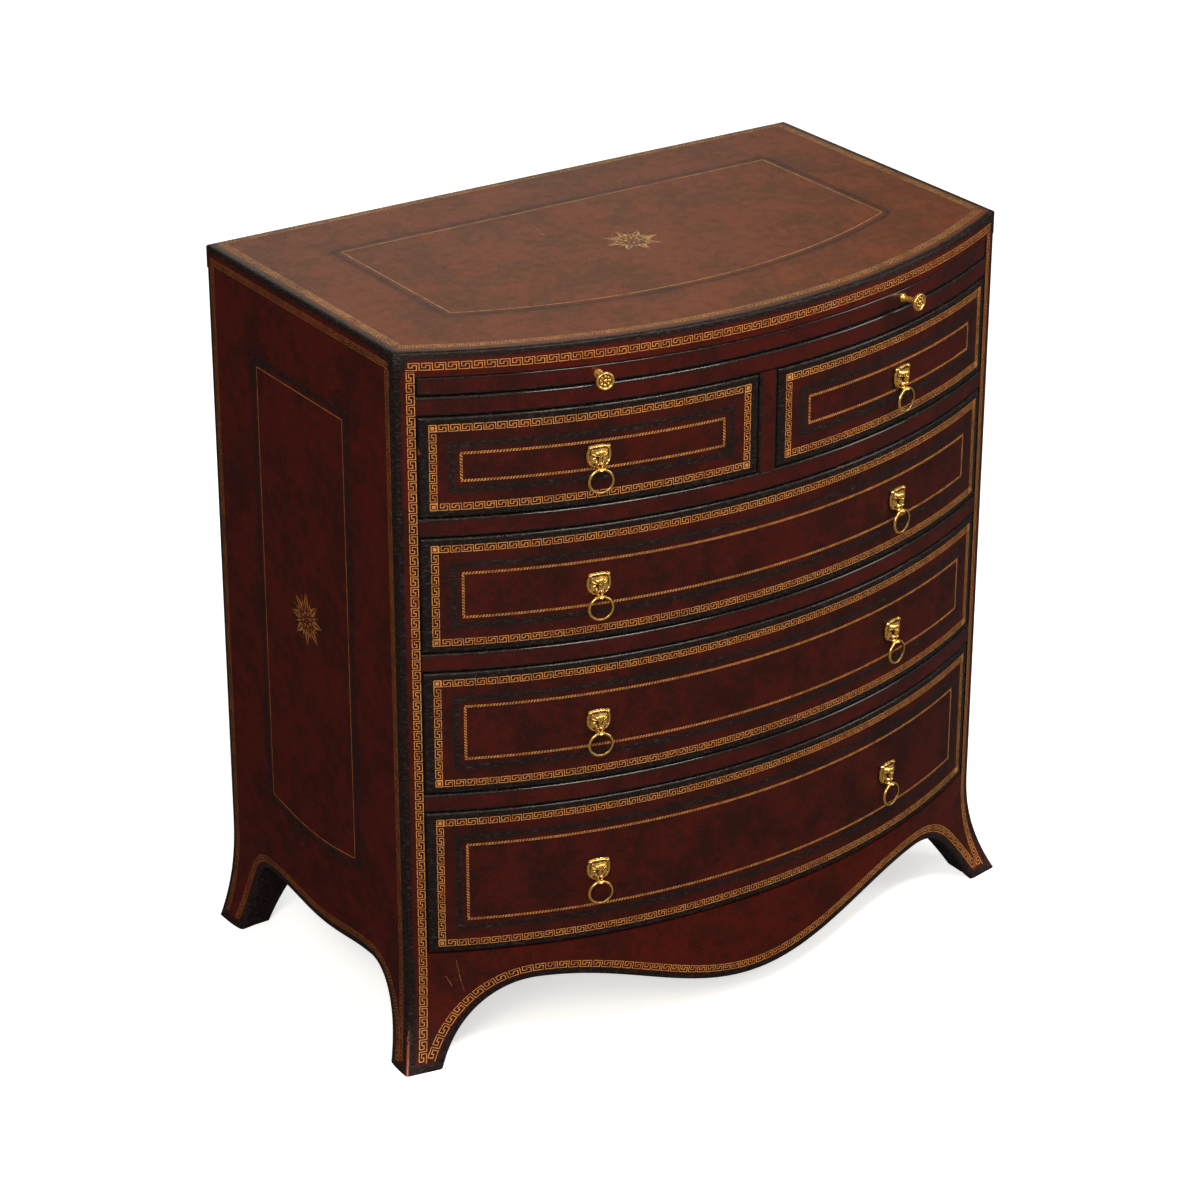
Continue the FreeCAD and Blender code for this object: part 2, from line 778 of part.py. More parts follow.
def drawer_nodes(name, x0, x1, opening_bottom, opening_height, pull_sides):
    """A drawer between two sides of its opening: front, sides, back, bottom, masks with nuts, and rings."""
    left = x0 + front_gap
    right = x1 - front_gap
    low = opening_bottom + front_gap
    high = opening_bottom + opening_height - front_gap
    inner_radius = bow_radius - front_thickness
    rear = panel_front_y - back_space
    side_top = high - side_drop
    side_parts = []
    for near, far in ((left, left + drawer_side_thickness), (right - drawer_side_thickness, right)):
        side_parts.append(bowed_slab(near, far, rear, inner_radius + front_lap, low, side_top))
    groove_low = low + groove_height
    inside_left = left + drawer_side_thickness
    inside_right = right - drawer_side_thickness
    groove = bowed_slab(
        inside_left - groove_depth,
        inside_right + groove_depth,
        rear + overrun,
        inner_radius + groove_depth,
        groove_low,
        groove_low + drawer_bottom_thickness,
    )
    bottom = bowed_slab(
        inside_left - groove_depth + groove_clearance,
        inside_right + groove_depth - groove_clearance,
        rear,
        inner_radius + groove_depth - groove_clearance,
        groove_low,
        groove_low + drawer_bottom_thickness,
    )
    back_low = groove_low + drawer_bottom_thickness
    back = box(inside_left, inside_right, rear - drawer_back_thickness, rear, back_low, side_top - back_drop)
    front = bow_strip(left, right, bow_radius, inner_radius, low, high)
    front = ease_front(front, bow_radius, drawer_front_ease)
    front = front.cut(side_parts).cut(groove)
    side_parts = [side.cut(groove) for side in side_parts]
    pull_z = (low + high) / 2 - pull_drop
    masks = []
    rings = []
    for side in pull_sides:
        mask = turn_to(lion_mask(pull_z), side * pull_angle)
        hole_end = pull_place() + front_thickness + overrun
        hole = post(post_radius + post_clearance, hole_end, pull_place() - overrun, pull_z)
        front = front.cut(turn_to(hole, side * pull_angle))
        masks += [mask, turn_to(nut(pull_z), side * pull_angle)]
        rings.append(turn_to(pull_ring(pull_z), side * pull_angle))
    nodes = {
        name + "_front": [front],
        name + "_sides": side_parts,
        name + "_back": [back],
        name + "_bottom": [bottom],
        name + "_masks": masks,
    }
    words = {-1: "left", 1: "right"}
    for side, ring in zip(pull_sides, rings):
        place = "" if len(pull_sides) == 1 else "_" + words[side]
        nodes[name + "_ring" + place] = [ring]
    return nodes


def case_nodes():
    """Every piece of the case that stands still."""
    nails = back_nails()
    side = side_board()
    panel = back_panel()
    sides = {"side_right": side, "side_left": mirrored(side)}
    panel = panel.cut(nails)
    for key in sides:
        sides[key] = sides[key].cut(nails)
    rail_bottoms = [bottom - rail_height for bottom in long_bottoms[1:] + [short_bottom, slide_bottom]]
    rail_names = ("rail_low", "rail_middle", "rail_under_short_drawers", "rail_under_slide")
    nodes = {"top_board": [top_board()], "back_panel": [panel], "back_nails": nails}
    nodes.update({key: [shape] for key, shape in sides.items()})
    nodes["stile_right"] = [stile()]
    nodes["stile_left"] = [mirrored(stile())]
    for key, bottom in zip(rail_names, rail_bottoms):
        nodes[key] = [rail(bottom)]
    nodes["short_drawer_divider"] = [short_drawer_divider()]
    nodes["dust_boards"] = [dust_board(bottom) for bottom in long_bottoms[1:] + [short_bottom, slide_bottom]]
    nodes["bottom_board"] = [bottom_board()]
    nodes["drawer_guides"] = guide_strips()
    nodes["drawer_stops"] = stop_blocks()
    nodes["front_apron"] = [front_apron()]
    nodes["side_apron_right"] = [side_apron()]
    nodes["side_apron_left"] = [mirrored(side_apron())]
    nodes["back_apron"] = [back_apron()]
    nodes["front_foot_right"] = [front_foot()]
    nodes["front_foot_left"] = [mirrored(front_foot())]
    nodes["rear_foot_right"] = [rear_foot()]
    nodes["rear_foot_left"] = [mirrored(rear_foot())]
    return nodes


def all_nodes():
    """Every node of the chest with its solids."""
    nodes = case_nodes()
    nodes.update(slide_nodes())
    inner = divider_width / 2
    short = (short_bottom, short_opening_height)
    nodes.update(drawer_nodes("short_left", -opening_half, -inner, *short, (-1,)))
    nodes.update(drawer_nodes("short_right", inner, opening_half, *short, (1,)))
    names = ("long_low", "long_middle", "long_high")
    for name, bottom, height in zip(names, long_bottoms, long_opening_heights):
        nodes.update(drawer_nodes(name, -opening_half, opening_half, bottom, height, (-1, 1)))
    return nodes


def main():
    """Writes one file for each node."""
    os.makedirs("parts", exist_ok=True)
    for name, shapes in all_nodes().items():
        solids = [solid for shape in shapes for solid in shape.Solids]
        shape = solids[0] if len(solids) == 1 else Part.makeCompound(solids)
        shape.exportStep(os.path.join("parts", name + ".step"))
        print(name, len(solids), "solids", round(shape.Volume), "valid", shape.isValid())


main()
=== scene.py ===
# %% [markdown]
# # A bow front chest, covered in tooled leather
#
# The real chest is a wooden case with five drawers and a brushing slide. Every outer board wears a skin of
# waxed, oxblood leather with black rubbed edges, gold tooling and cast brass pulls.
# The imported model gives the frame: where each board is, and which body it moves with. This script dresses it.
# Boards that show leather get new, finely curved skins. The wood inside keeps the frame's own solids.

# %% Load the frame
import math

import bmesh
import bpy
import numpy as np
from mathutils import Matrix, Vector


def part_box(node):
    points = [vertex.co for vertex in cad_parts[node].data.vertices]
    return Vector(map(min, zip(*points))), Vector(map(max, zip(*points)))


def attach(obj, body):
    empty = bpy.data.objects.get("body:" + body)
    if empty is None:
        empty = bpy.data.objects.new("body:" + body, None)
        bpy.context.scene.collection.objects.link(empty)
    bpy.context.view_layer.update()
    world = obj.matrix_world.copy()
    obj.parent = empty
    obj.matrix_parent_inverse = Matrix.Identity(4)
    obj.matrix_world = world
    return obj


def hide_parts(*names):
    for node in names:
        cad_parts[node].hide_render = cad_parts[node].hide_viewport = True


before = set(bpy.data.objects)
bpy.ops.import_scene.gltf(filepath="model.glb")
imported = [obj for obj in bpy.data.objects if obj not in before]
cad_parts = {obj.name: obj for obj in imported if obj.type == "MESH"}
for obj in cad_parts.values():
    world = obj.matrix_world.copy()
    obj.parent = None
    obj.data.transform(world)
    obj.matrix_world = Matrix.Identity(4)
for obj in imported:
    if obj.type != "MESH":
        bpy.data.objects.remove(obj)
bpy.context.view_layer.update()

mm = 0.001

# %% [markdown]
# ## The sizes of the chest
#
# A piece that is placed by eye drifts. So each size is read from the frame's boxes, or worked out from one:
# the bow is an arc through both front corners, and its radius follows from the width and the rise.
# Sizes that several boards share, such as the roundness of a padded edge, are named here once.

# %% Sizes of the case
top_low, top_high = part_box("top_board")
half = top_high[0]
back_y = top_high[1]
case_top = top_high[2]
top_under = top_low[2]
bow_rise = 110 * mm
corner_y = top_low[1] + bow_rise
bow_radius = (half ** 2 + bow_rise ** 2) / (2 * bow_rise)
centre_y = top_low[1] + bow_radius
base_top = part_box("stile_right")[0][2]
opening_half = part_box("stile_right")[0][0]
stile_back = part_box("side_right")[0][1]
skin = 0.15 * mm
arris_soft = 3.2 * mm
lip_round = 2.4 * mm
top_round = 3 * mm
far_off = 50 * mm
weld_size = 1e-5
print("bow radius", round(bow_radius, 4), "opening half width", round(opening_half, 4))

# %% Surfaces that carry the leather
def arc_y(x, depth=0.0):
    """Y of the bow at x: the circle's centre less the height of the circle there.

    Depth makes the circle smaller, for a surface inside the board.
    """
    return centre_y - np.sqrt((bow_radius - depth) ** 2 - np.asarray(x) ** 2)


def on_front(s, z, depth=0.0):
    """A point of the front from its distance s along the bow.

    x is the radius times the sine of s over the radius.
    """
    x = bow_radius * np.sin(s / bow_radius) + 0 * z
    return np.stack([x, arc_y(x, depth), z + 0 * x], -1)


def along_bow(x):
    """Distance along the bow from the middle to x: radius times the angle whose sine is x over the radius."""
    return bow_radius * np.arcsin(x / bow_radius)


def on_top(x, v, depth=0.0):
    """A point of the top, v in from the back edge.

    Near the back, y is the back edge less v. Near the front, y is the bow plus what is left of v. In between,
    a smooth step blends the two.
    """
    length = back_y - corner_y
    share = np.clip((v / length - 0.15) / 0.7, 0, 1)
    blend = share * share * (3 - 2 * share)
    slope = np.sqrt(1 - (x / bow_radius) ** 2)
    y = (1 - blend) * (back_y - v) + blend * (arc_y(x) + (length - v) / slope)
    return np.stack([x + 0 * v, y, case_top - depth + 0 * y], -1)


print("the bow runs from y", round(float(arc_y(half)), 4), "to y", round(float(arc_y(0.0)), 4))

# %% [markdown]
# ## Turning grids of points into closed boards
#
# Each board is a sheet of points with an inner sheet behind it. Walls join the two all round, and points
# that fall on the same place are welded. A cube with a bevel would be quicker, but its faces couldn't carry
# the tooling. Two numbers ride on each point for the leather: `inset`, the distance from the nearest rubbed
# edge, and `panel`, the distance outside the inner gold line. A point with neither has the distance
# `far_off`.

# %% Steps, sheets and walls
def edge_steps(start, end, rounding, marks, step, round_start=True, round_end=True):
    """Places from start to end for the rows of a sheet.

    They are close together over the rounding, as one minus a cosine, then at each mark from both ends, and
    then even.
    """
    turn = rounding * (1 - np.cos(np.linspace(0, math.pi / 2, 6)))
    near = np.concatenate([turn, marks])
    places = [np.array([start, end])]
    places.append(start + (near if round_start else marks))
    places.append(end - (near if round_end else marks))
    reach = max(marks) if len(marks) else rounding
    count = max(1, int(round((end - start - 2 * reach) / step)))
    places.append(np.linspace(start + reach, end - reach, count + 1))
    every = np.unique(np.round(np.concatenate(places), 6))
    return every[(every >= start - 1e-9) & (every <= end + 1e-9)]


def rounding_depth(distance, rounding):
    """How far a rounded edge falls back at a distance from the edge: radius less the height of a circle."""
    run = np.clip(rounding - distance, 0, rounding)
    return rounding - np.sqrt(np.maximum(rounding ** 2 - run ** 2, 0))


def sheet(points, inset=None, panel=None, finish=0):
    """One grid of points with its two numbers and the number of its finish."""
    shape = points.shape[:2]
    inset = np.full(shape, far_off) if inset is None else inset + np.zeros(shape)
    panel = np.full(shape, far_off) if panel is None else panel + np.zeros(shape)
    return {"points": points, "inset": inset, "panel": panel, "finish": finish}


def strip(a, b):
    """A wall between two rows of a sheet's points."""
    return {
        "points": np.stack([a[0], b[0]]),
        "inset": np.stack([a[1], b[1]]),
        "panel": np.stack([a[2], b[2]]),
        "finish": a[3],
    }


def rim(s, part):
    """One border row of a sheet: its points, numbers and finish."""
    return s["points"][part], s["inset"][part], s["panel"][part], s["finish"]


def boarded(outer, inner):
    """Both sheets of a board and the four walls between their borders."""
    borders = [np.s_[0, :], np.s_[-1, :], np.s_[:, 0], np.s_[:, -1]]
    return [outer, inner] + [strip(rim(outer, part), rim(inner, part)) for part in borders]


print("rows over 100 mm", len(edge_steps(0, 100 * mm, lip_round, np.array([4, 7]) * mm, 12 * mm)))

# %% Welding
def welded(sheets):
    """All sheets as one list of vertices and faces: points within a hundredth of a millimetre become one."""
    points = np.concatenate([s["points"].reshape(-1, 3) for s in sheets])
    inset = np.concatenate([s["inset"].ravel() for s in sheets])
    panel = np.concatenate([s["panel"].ravel() for s in sheets])
    quads, finishes, start = [], [], 0
    for s in sheets:
        rows, columns = s["points"].shape[:2]
        ids = start + np.arange(rows * columns).reshape(rows, columns)
        corners = [ids[:-1, :-1], ids[1:, :-1], ids[1:, 1:], ids[:-1, 1:]]
        quads.append(np.stack([c.ravel() for c in corners], -1))
        finishes.append(np.full(len(quads[-1]), s["finish"]))
        start += rows * columns
    quads = np.concatenate(quads)
    finishes = np.concatenate(finishes)
    grid = np.round(points / weld_size).astype(np.int64)
    _, first, back = np.unique(grid, axis=0, return_index=True, return_inverse=True)
    quads = back.ravel()[quads]
    same = quads == np.roll(quads, -1, axis=1)
    whole = ~same.any(axis=1)
    pinched = same.sum(axis=1) == 1
    triangles = quads[pinched][~same[pinched]].reshape(-1, 3)
    faces = quads[whole].tolist() + triangles.tolist()
    index = np.concatenate([finishes[whole], finishes[pinched]])
    return points[first], faces, inset[first], panel[first], index


def piece(name, sheets, body, finishes, stands_for=(), sharp=40.0):
    """A finished object from sheets, riding on its body.

    It is welded, its normals are turned outwards, and it is smooth but for edges sharper than an angle.
    """
    points, faces, inset, panel, index = welded(sheets)
    mesh = bpy.data.meshes.new(name)
    mesh.from_pydata(points.tolist(), [], faces)
    for key, values in (("inset", inset), ("panel", panel)):
        mesh.attributes.new(key, "FLOAT", "POINT").data.foreach_set("value", values.astype(np.float32))
    for material in finishes:
        mesh.materials.append(material)
    mesh.polygons.foreach_set("material_index", index.astype(np.int32))
    work = bmesh.new()
    work.from_mesh(mesh)
    bmesh.ops.recalc_face_normals(work, faces=work.faces)
    work.to_mesh(mesh)
    work.free()
    mesh.polygons.foreach_set("use_smooth", np.ones(len(mesh.polygons), dtype=bool))
    mesh.set_sharp_from_angle(angle=math.radians(sharp))
    mesh.update()
    thing = bpy.data.objects.new(name, mesh)
    bpy.context.scene.collection.objects.link(thing)
    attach(thing, body)
    if stands_for:
        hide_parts(*stands_for)
    return thing


square = np.stack(np.meshgrid([0.0, 1.0], [0.0, 1.0], [0.0], indexing="ij"), -1)[:, :, 0]
print("two equal sheets weld to", len(welded([sheet(square), sheet(square)])[0]), "points")

# %% [markdown]
# ## Light, floor and camera
#
# The photograph is a plain studio picture on white. A tall camera with a long lens looks down on the left
# front corner. Large soft lamps give the wide sheen of the top and the thin white lines on the rounded edges.
# The floor is white where the camera sees it, and a calmer grey in reflections, so the dark leather stays
# dark. That is done with Light Path, because more light on a white floor would wash out the leather too.

# %% Camera
camera = bpy.data.objects.new("camera", bpy.data.cameras.new("camera"))
bpy.context.scene.collection.objects.link(camera)
bpy.context.scene.camera = camera
camera.location = (-2.1205, -3.0643, 2.1643)
aim = np.array([-0.11462, -0.08624, 0.5495]) - np.array(camera.location)
pitch = math.asin(aim[2] / np.linalg.norm(aim))
camera.rotation_euler = (math.pi / 2 + pitch, 0, math.atan2(-aim[0], aim[1]))
camera.data.sensor_width = 36
camera.data.lens = 107.66
camera.data.shift_x = 0.0076
camera.data.shift_y = -0.0577
camera.data.clip_end = 50
print("camera looks down by", round(-math.degrees(pitch), 2), "degrees")

# %% Node helpers
def add(tree, kind, inputs=None, **settings):
    """A node in a tree. An input that is a socket is linked, and any other is set as a value."""
    node = tree.nodes.new(kind)
    for key, value in settings.items():
        setattr(node, key, value)
    for key, value in (inputs or {}).items():
        if isinstance(value, bpy.types.NodeSocket):
            tree.links.new(value, node.inputs[key])
        else:
            node.inputs[key].default_value = value
    return node


def calc(tree, operation, a, b=0.0, c=0.0):
    """One step of arithmetic."""
    return add(tree, "ShaderNodeMath", {0: a, 1: b, 2: c}, operation=operation).outputs[0]


def ramp(tree, value, low, high, out_low=0.0, out_high=1.0):
    """A smooth step: out_low below low, out_high above high."""
    inputs = {"Value": value, "From Min": low, "From Max": high, "To Min": out_low, "To Max": out_high}
    return add(tree, "ShaderNodeMapRange", inputs, interpolation_type="SMOOTHSTEP").outputs["Result"]


def mixed(tree, share, a, b):
    """Two colours mixed by a share."""
    node = add(tree, "ShaderNodeMix", {"Factor": share}, data_type="RGBA")
    for key, value in ((6, a), (7, b)):
        if isinstance(value, bpy.types.NodeSocket):
            tree.links.new(value, node.inputs[key])
        else:
            node.inputs[key].default_value = value
    return node.outputs[2]


def noise(tree, where, scale, detail=3.0, roughness=0.55):
    """Smooth noise at a scale in patches to the metre."""
    inputs = {"Vector": where, "Scale": scale, "Detail": detail, "Roughness": roughness}
    return add(tree, "ShaderNodeTexNoise", inputs).outputs["Fac"]


def new_group(name, inputs, outputs):
    """An empty node group with named sockets: name, kind and starting value."""
    tree = bpy.data.node_groups.new(name, "ShaderNodeTree")
    kinds = {"value": "NodeSocketFloat", "colour": "NodeSocketColor", "vector": "NodeSocketVector"}
    for key, kind, start in inputs:
        tree.interface.new_socket(name=key, in_out="INPUT", socket_type=kinds[kind]).default_value = start
    for key, kind in outputs:
        tree.interface.new_socket(name=key, in_out="OUTPUT", socket_type=kinds[kind])
    return tree, tree.nodes.new("NodeGroupInput").outputs, tree.nodes.new("NodeGroupOutput").inputs


print("node helpers ready")

# %% Helpers that dress a material
def new_finish(name):
    """A material with an empty tree but for its Principled shader and output."""
    material = bpy.data.materials.new(name)
    material.use_nodes = True
    tree = material.node_tree
    tree.nodes.clear()
    shader = add(tree, "ShaderNodeBsdfPrincipled")
    output = add(tree, "ShaderNodeOutputMaterial", {"Surface": shader.outputs[0]})
    return material, tree, shader, output


def placed(tree, group, inputs):
    """A node group set into a material's tree with its own values."""
    node = tree.nodes.new("ShaderNodeGroup")
    node.node_tree = group
    for key, value in inputs.items():
        if isinstance(value, bpy.types.NodeSocket):
            tree.links.new(value, node.inputs[key])
        else:
            node.inputs[key].default_value = value
    return node


def feed(tree, shader, source, *pairs):
    """Links outputs of a node to the shader: pairs of the shader's input and the node's output."""
    for into, out in pairs:
        tree.links.new(source.outputs[out], shader.inputs[into])


print("materials so far", len(bpy.data.materials))

# %% World
world = bpy.data.worlds.new("studio")
bpy.context.scene.world = world
world.use_nodes = True
tree = world.node_tree
tree.nodes.clear()
path = add(tree, "ShaderNodeLightPath")
in_shade, in_gloss = 0.34, 0.07
less = calc(tree, "MULTIPLY", path.outputs["Is Glossy Ray"], in_shade - in_gloss)
soft = calc(tree, "SUBTRACT", in_shade, less)
strength = calc(tree, "MAXIMUM", path.outputs["Is Camera Ray"], soft)
sky = add(tree, "ShaderNodeBackground", {"Color": (1, 1, 1, 1), "Strength": strength})
add(tree, "ShaderNodeOutputWorld", {"Surface": sky.outputs[0]})
print("world ready: the camera sees white, and the chest", in_shade)

# %% Lamps
def lamp(name, place, target, size, power):
    """A soft rectangular lamp that faces a point."""
    light = bpy.data.lights.new(name, "AREA")
    light.shape = "RECTANGLE"
    light.size, light.size_y = size
    light.energy = power
    light.color = (1.0, 0.93, 0.84)
    thing = bpy.data.objects.new(name, light)
    bpy.context.scene.collection.objects.link(thing)
    thing.location = place
    way = np.array(target) - np.array(place)
    rise = math.asin(way[2] / np.linalg.norm(way))
    thing.rotation_euler = (math.pi / 2 + rise, 0, math.atan2(-way[0], way[1]))
    return thing


# Each lamp has its place, the point it faces, its width and height, and its power.
lamp("key_lamp", (-2.6, -2.4, 2.7), (0, 0, 0.45), (1.6, 1.6), 92)
lamp("right_lamp", (2.8, -1.8, 1.9), (0, 0, 0.45), (1.0, 1.8), 30)
lamp("over_lamp", (0.5, -1.9, 3.2), (0, -0.1, 0.5), (1.8, 0.35), 60)
lamp("back_lamp", (0.9, 3.4, 1.9), (0, 0.2, 0.8), (3.4, 1.6), 14)
# This one reaches only what shines, so the brass glints and the leather keeps its own light.
brass_lamp = lamp("brass_lamp", (0.1, -2.85, 2.45), (0, -0.2, 0.5), (1.0, 0.7), 16)
brass_lamp.visible_diffuse = False
bpy.context.scene.view_settings.view_transform = "Standard"
print("lamps", len(bpy.data.lights))

# %% Floor
reach = 8
floor_mesh = bpy.data.meshes.new("floor")
corners = [(-reach, -reach, 0), (reach, -reach, 0), (reach, reach, 0), (-reach, reach, 0)]
floor_mesh.from_pydata(corners, [], [(0, 1, 2, 3)])
floor = bpy.data.objects.new("floor", floor_mesh)
bpy.context.scene.collection.objects.link(floor)
pale_floor, tree, shader, output = new_finish("pale_floor")
path = add(tree, "ShaderNodeLightPath")
seen = path.outputs["Is Camera Ray"]
shader.inputs["Roughness"].default_value = 0.9
shader.inputs["Specular IOR Level"].default_value = 0.1
unseen = mixed(tree, path.outputs["Is Glossy Ray"], (0.42, 0.42, 0.42, 1), (0.05, 0.05, 0.05, 1))
tree.links.new(mixed(tree, seen, unseen, (0.97, 0.97, 0.97, 1)), shader.inputs["Base Color"])
shader.inputs["Emission Color"].default_value = (1, 1, 1, 1)
tree.links.new(calc(tree, "MULTIPLY", seen, 0.60), shader.inputs["Emission Strength"])
floor_mesh.materials.append(pale_floor)
print("stage set")

# %% [markdown]
# ## The leather
#
# Antiqued hide is dyed oxblood, then darkened by hand: brown clouds, rubbed black edges, and a black
# pressed frame just outside the inner gold line. A wider soft band of painted shade lies round the frame, and
# grey streaks of painted glints lie on the black. It could be a picture laid on each board, but a picture
# knows nothing of the edges. One node group makes all of it from noise on object coordinates and the two
# numbers of each point, so that the dark edges follow every board's own shape.

# %% Leather: hide, clouds and flecks
leather_tree, given, made = new_group(
    "antiqued leather",
    [
        ("Hide", "colour", (0.1, 0.02, 0.01, 1)),
        ("Cloud", "colour", (0.03, 0.01, 0.008, 1)),
        ("Black", "colour", (0.008, 0.006, 0.005, 1)),
        ("Inset", "value", 0.05),
        ("Panel", "value", 0.05),
        ("Edge Width", "value", 0.008),
        ("Cloudiness", "value", 0.6),
        ("Wear", "value", 0.0),
        ("Frame", "value", 1.0),
    ],
    [("Color", "colour"), ("Roughness", "value"), ("Normal", "vector")],
)
tree = leather_tree
where = add(tree, "ShaderNodeTexCoord").outputs["Object"]
clouds = noise(tree, where, 16, 4, 0.6)
patches = noise(tree, where, 75, 4, 0.6)
flecks = noise(tree, where, 420, 3, 0.6)
cells = add(tree, "ShaderNodeTexVoronoi", {"Vector": where, "Scale": 820}, feature="DISTANCE_TO_EDGE")
pores = cells.outputs["Distance"]
body = calc(tree, "ADD", calc(tree, "MULTIPLY", clouds, 0.6), calc(tree, "MULTIPLY", patches, 0.4))
dark = calc(tree, "MULTIPLY", ramp(tree, body, 0.42, 0.60), given["Cloudiness"])
colour = mixed(tree, dark, given["Hide"], given["Cloud"])
light_flecks = calc(tree, "MULTIPLY", ramp(tree, flecks, 0.50, 0.72), 0.35)
brighter = add(tree, "ShaderNodeHueSaturation", {"Value": 1.9, "Color": given["Hide"]}).outputs[0]
colour = mixed(tree, light_flecks, colour, brighter)
dark_flecks = calc(tree, "MULTIPLY", ramp(tree, flecks, 0.50, 0.36), 0.4)
colour = mixed(tree, dark_flecks, colour, given["Black"])
print("hide from", len(tree.nodes), "nodes")

# %% Leather: black edge, pressed frame and painted shade round it
wander = calc(tree, "MULTIPLY", calc(tree, "SUBTRACT", patches, 0.5), 6 * mm)
run = calc(tree, "ADD", given["Inset"], wander)
edge_share = calc(tree, "DIVIDE", run, given["Edge Width"])
edge = calc(tree, "MULTIPLY", ramp(tree, edge_share, 0.75, 1.2, 1.0, 0.0), 0.94)
colour = mixed(tree, edge, colour, given["Black"])
frame_place = 8.5 * mm
outside_line = calc(tree, "ADD", given["Panel"], calc(tree, "MULTIPLY", wander, 0.35))
from_frame = calc(tree, "ABSOLUTE", calc(tree, "SUBTRACT", outside_line, frame_place))
frame_line = calc(tree, "MULTIPLY", ramp(tree, from_frame, 1.8 * mm, 4.4 * mm, 1.0, 0.0), given["Frame"])
# A soft band of painted shade, up to 16 mm to either side of the pressed frame, darkens the hide towards black.
painted_frame_shade = calc(tree, "MULTIPLY", ramp(tree, from_frame, 0.0, 16 * mm, 0.30, 0.0), given["Frame"])
broken = ramp(tree, noise(tree, where, 230, 3, 0.7), 0.34, 0.58, 0.60, 1.0)
colour = mixed(tree, painted_frame_shade, colour, given["Black"])
frame_black = calc(tree, "MULTIPLY", calc(tree, "MULTIPLY", frame_line, broken), 0.88)
colour = mixed(tree, frame_black, colour, given["Black"])
print("black edges and frame, with the hide, from", len(tree.nodes), "nodes")

# %% Leather: painted grey glints and bared arrises
painted_glint_grey, bared_hide = (0.052, 0.046, 0.043, 1), (0.33, 0.062, 0.018, 1)
# Grey streaks on the black edges and the pressed frame are painted glints: light caught in the crinkled black
# leather, painted as grey.
drawn = add(tree, "ShaderNodeMapping", {"Vector": where, "Scale": (0.25, 0.25, 1.0)}).outputs[0]
painted_glints = ramp(tree, noise(tree, drawn, 620, 4, 0.8), 0.52, 0.66, 0.0, 0.8)
painted_glint_share = calc(tree, "MULTIPLY", painted_glints, calc(tree, "MAXIMUM", edge, frame_line))
colour = mixed(tree, painted_glint_share, colour, painted_glint_grey)
wear_noise = calc(tree, "ADD", noise(tree, where, 120, 4, 0.7), calc(tree, "MULTIPLY", given["Wear"], 0.27))
at_edge = ramp(tree, given["Inset"], 0.4 * mm, 2.6 * mm, 1.0, 0.0)
rub = calc(tree, "MULTIPLY", at_edge, ramp(tree, wear_noise, 0.645, 0.71))
colour = mixed(tree, calc(tree, "MULTIPLY", rub, 0.85), colour, bared_hide)
print("scuffs and rubbed edges, with the rest, from", len(tree.nodes), "nodes")

# %% Leather: grain, cracks and gloss
grain = calc(tree, "MULTIPLY", ramp(tree, pores, 0.0, 0.25), 0.5)
creases = noise(tree, where, 1500, 2, 0.6)
cracks = noise(tree, drawn, 420, 4, 0.75)
on_black = calc(tree, "MULTIPLY", calc(tree, "MAXIMUM", edge, frame_line), 3.4)
crackle = calc(tree, "MULTIPLY", cracks, calc(tree, "ADD", on_black, 0.30))
groove = calc(tree, "MULTIPLY", frame_line, -1.1)
pored = calc(tree, "ADD", grain, calc(tree, "MULTIPLY", creases, 0.35))
height = calc(tree, "ADD", pored, calc(tree, "ADD", crackle, groove))
bump = add(tree, "ShaderNodeBump", {"Strength": 0.55, "Distance": 0.22 * mm, "Height": height})
rough = calc(tree, "ADD", calc(tree, "MULTIPLY", patches, 0.16), calc(tree, "MULTIPLY", flecks, 0.10))
rough = calc(tree, "ADD", rough, calc(tree, "MULTIPLY", edge, -0.12))
tree.links.new(colour, made["Color"])
tree.links.new(calc(tree, "ADD", rough, 0.27), made["Roughness"])
tree.links.new(bump.outputs[0], made["Normal"])
print("leather group", len(tree.nodes), "nodes")

# %% Leather finishes
edge_black = (0.0085, 0.0062, 0.0055, 1)
wax_roughness, wax_index = 0.06, 1.7


def leather_finish(name, hide, cloud, edge_width, cloudiness, frame_share, gloss, coat, worn=False):
    """One leather: the group with this board's colours, read from the points' own numbers.

    Worn leather is rubbed through near the floor and the arris.
    """
    material, tree, shader, output = new_finish(name)
    inset = add(tree, "ShaderNodeAttribute", attribute_name="inset").outputs["Fac"]
    panel = add(tree, "ShaderNodeAttribute", attribute_name="panel").outputs["Fac"]
    inputs = {"Hide": (*hide, 1), "Cloud": (*cloud, 1), "Black": edge_black, "Inset": inset, "Panel": panel}
    inputs.update({"Edge Width": edge_width, "Cloudiness": cloudiness, "Frame": frame_share})
    if worn:
        place = add(tree, "ShaderNodeTexCoord").outputs["Object"]
        height = add(tree, "ShaderNodeSeparateXYZ", {"Vector": place}).outputs["Z"]
        near_arris = ramp(tree, panel, 2.2 * mm, 4.0 * mm, 1.0, 0.0)
        near_floor = ramp(tree, height, 15 * mm, 62 * mm, 1.0, 0.0)
        inputs["Wear"] = calc(tree, "MULTIPLY", near_floor, near_arris)
    dressed = placed(tree, leather_tree, inputs)
    feed(tree, shader, dressed, ("Base Color", "Color"), ("Roughness", "Roughness"), ("Normal", "Normal"))
    shader.inputs["Specular IOR Level"].default_value = gloss
    shader.inputs["Coat Weight"].default_value = coat
    shader.inputs["Coat Roughness"].default_value = wax_roughness
    shader.inputs["Coat IOR"].default_value = wax_index
    return material


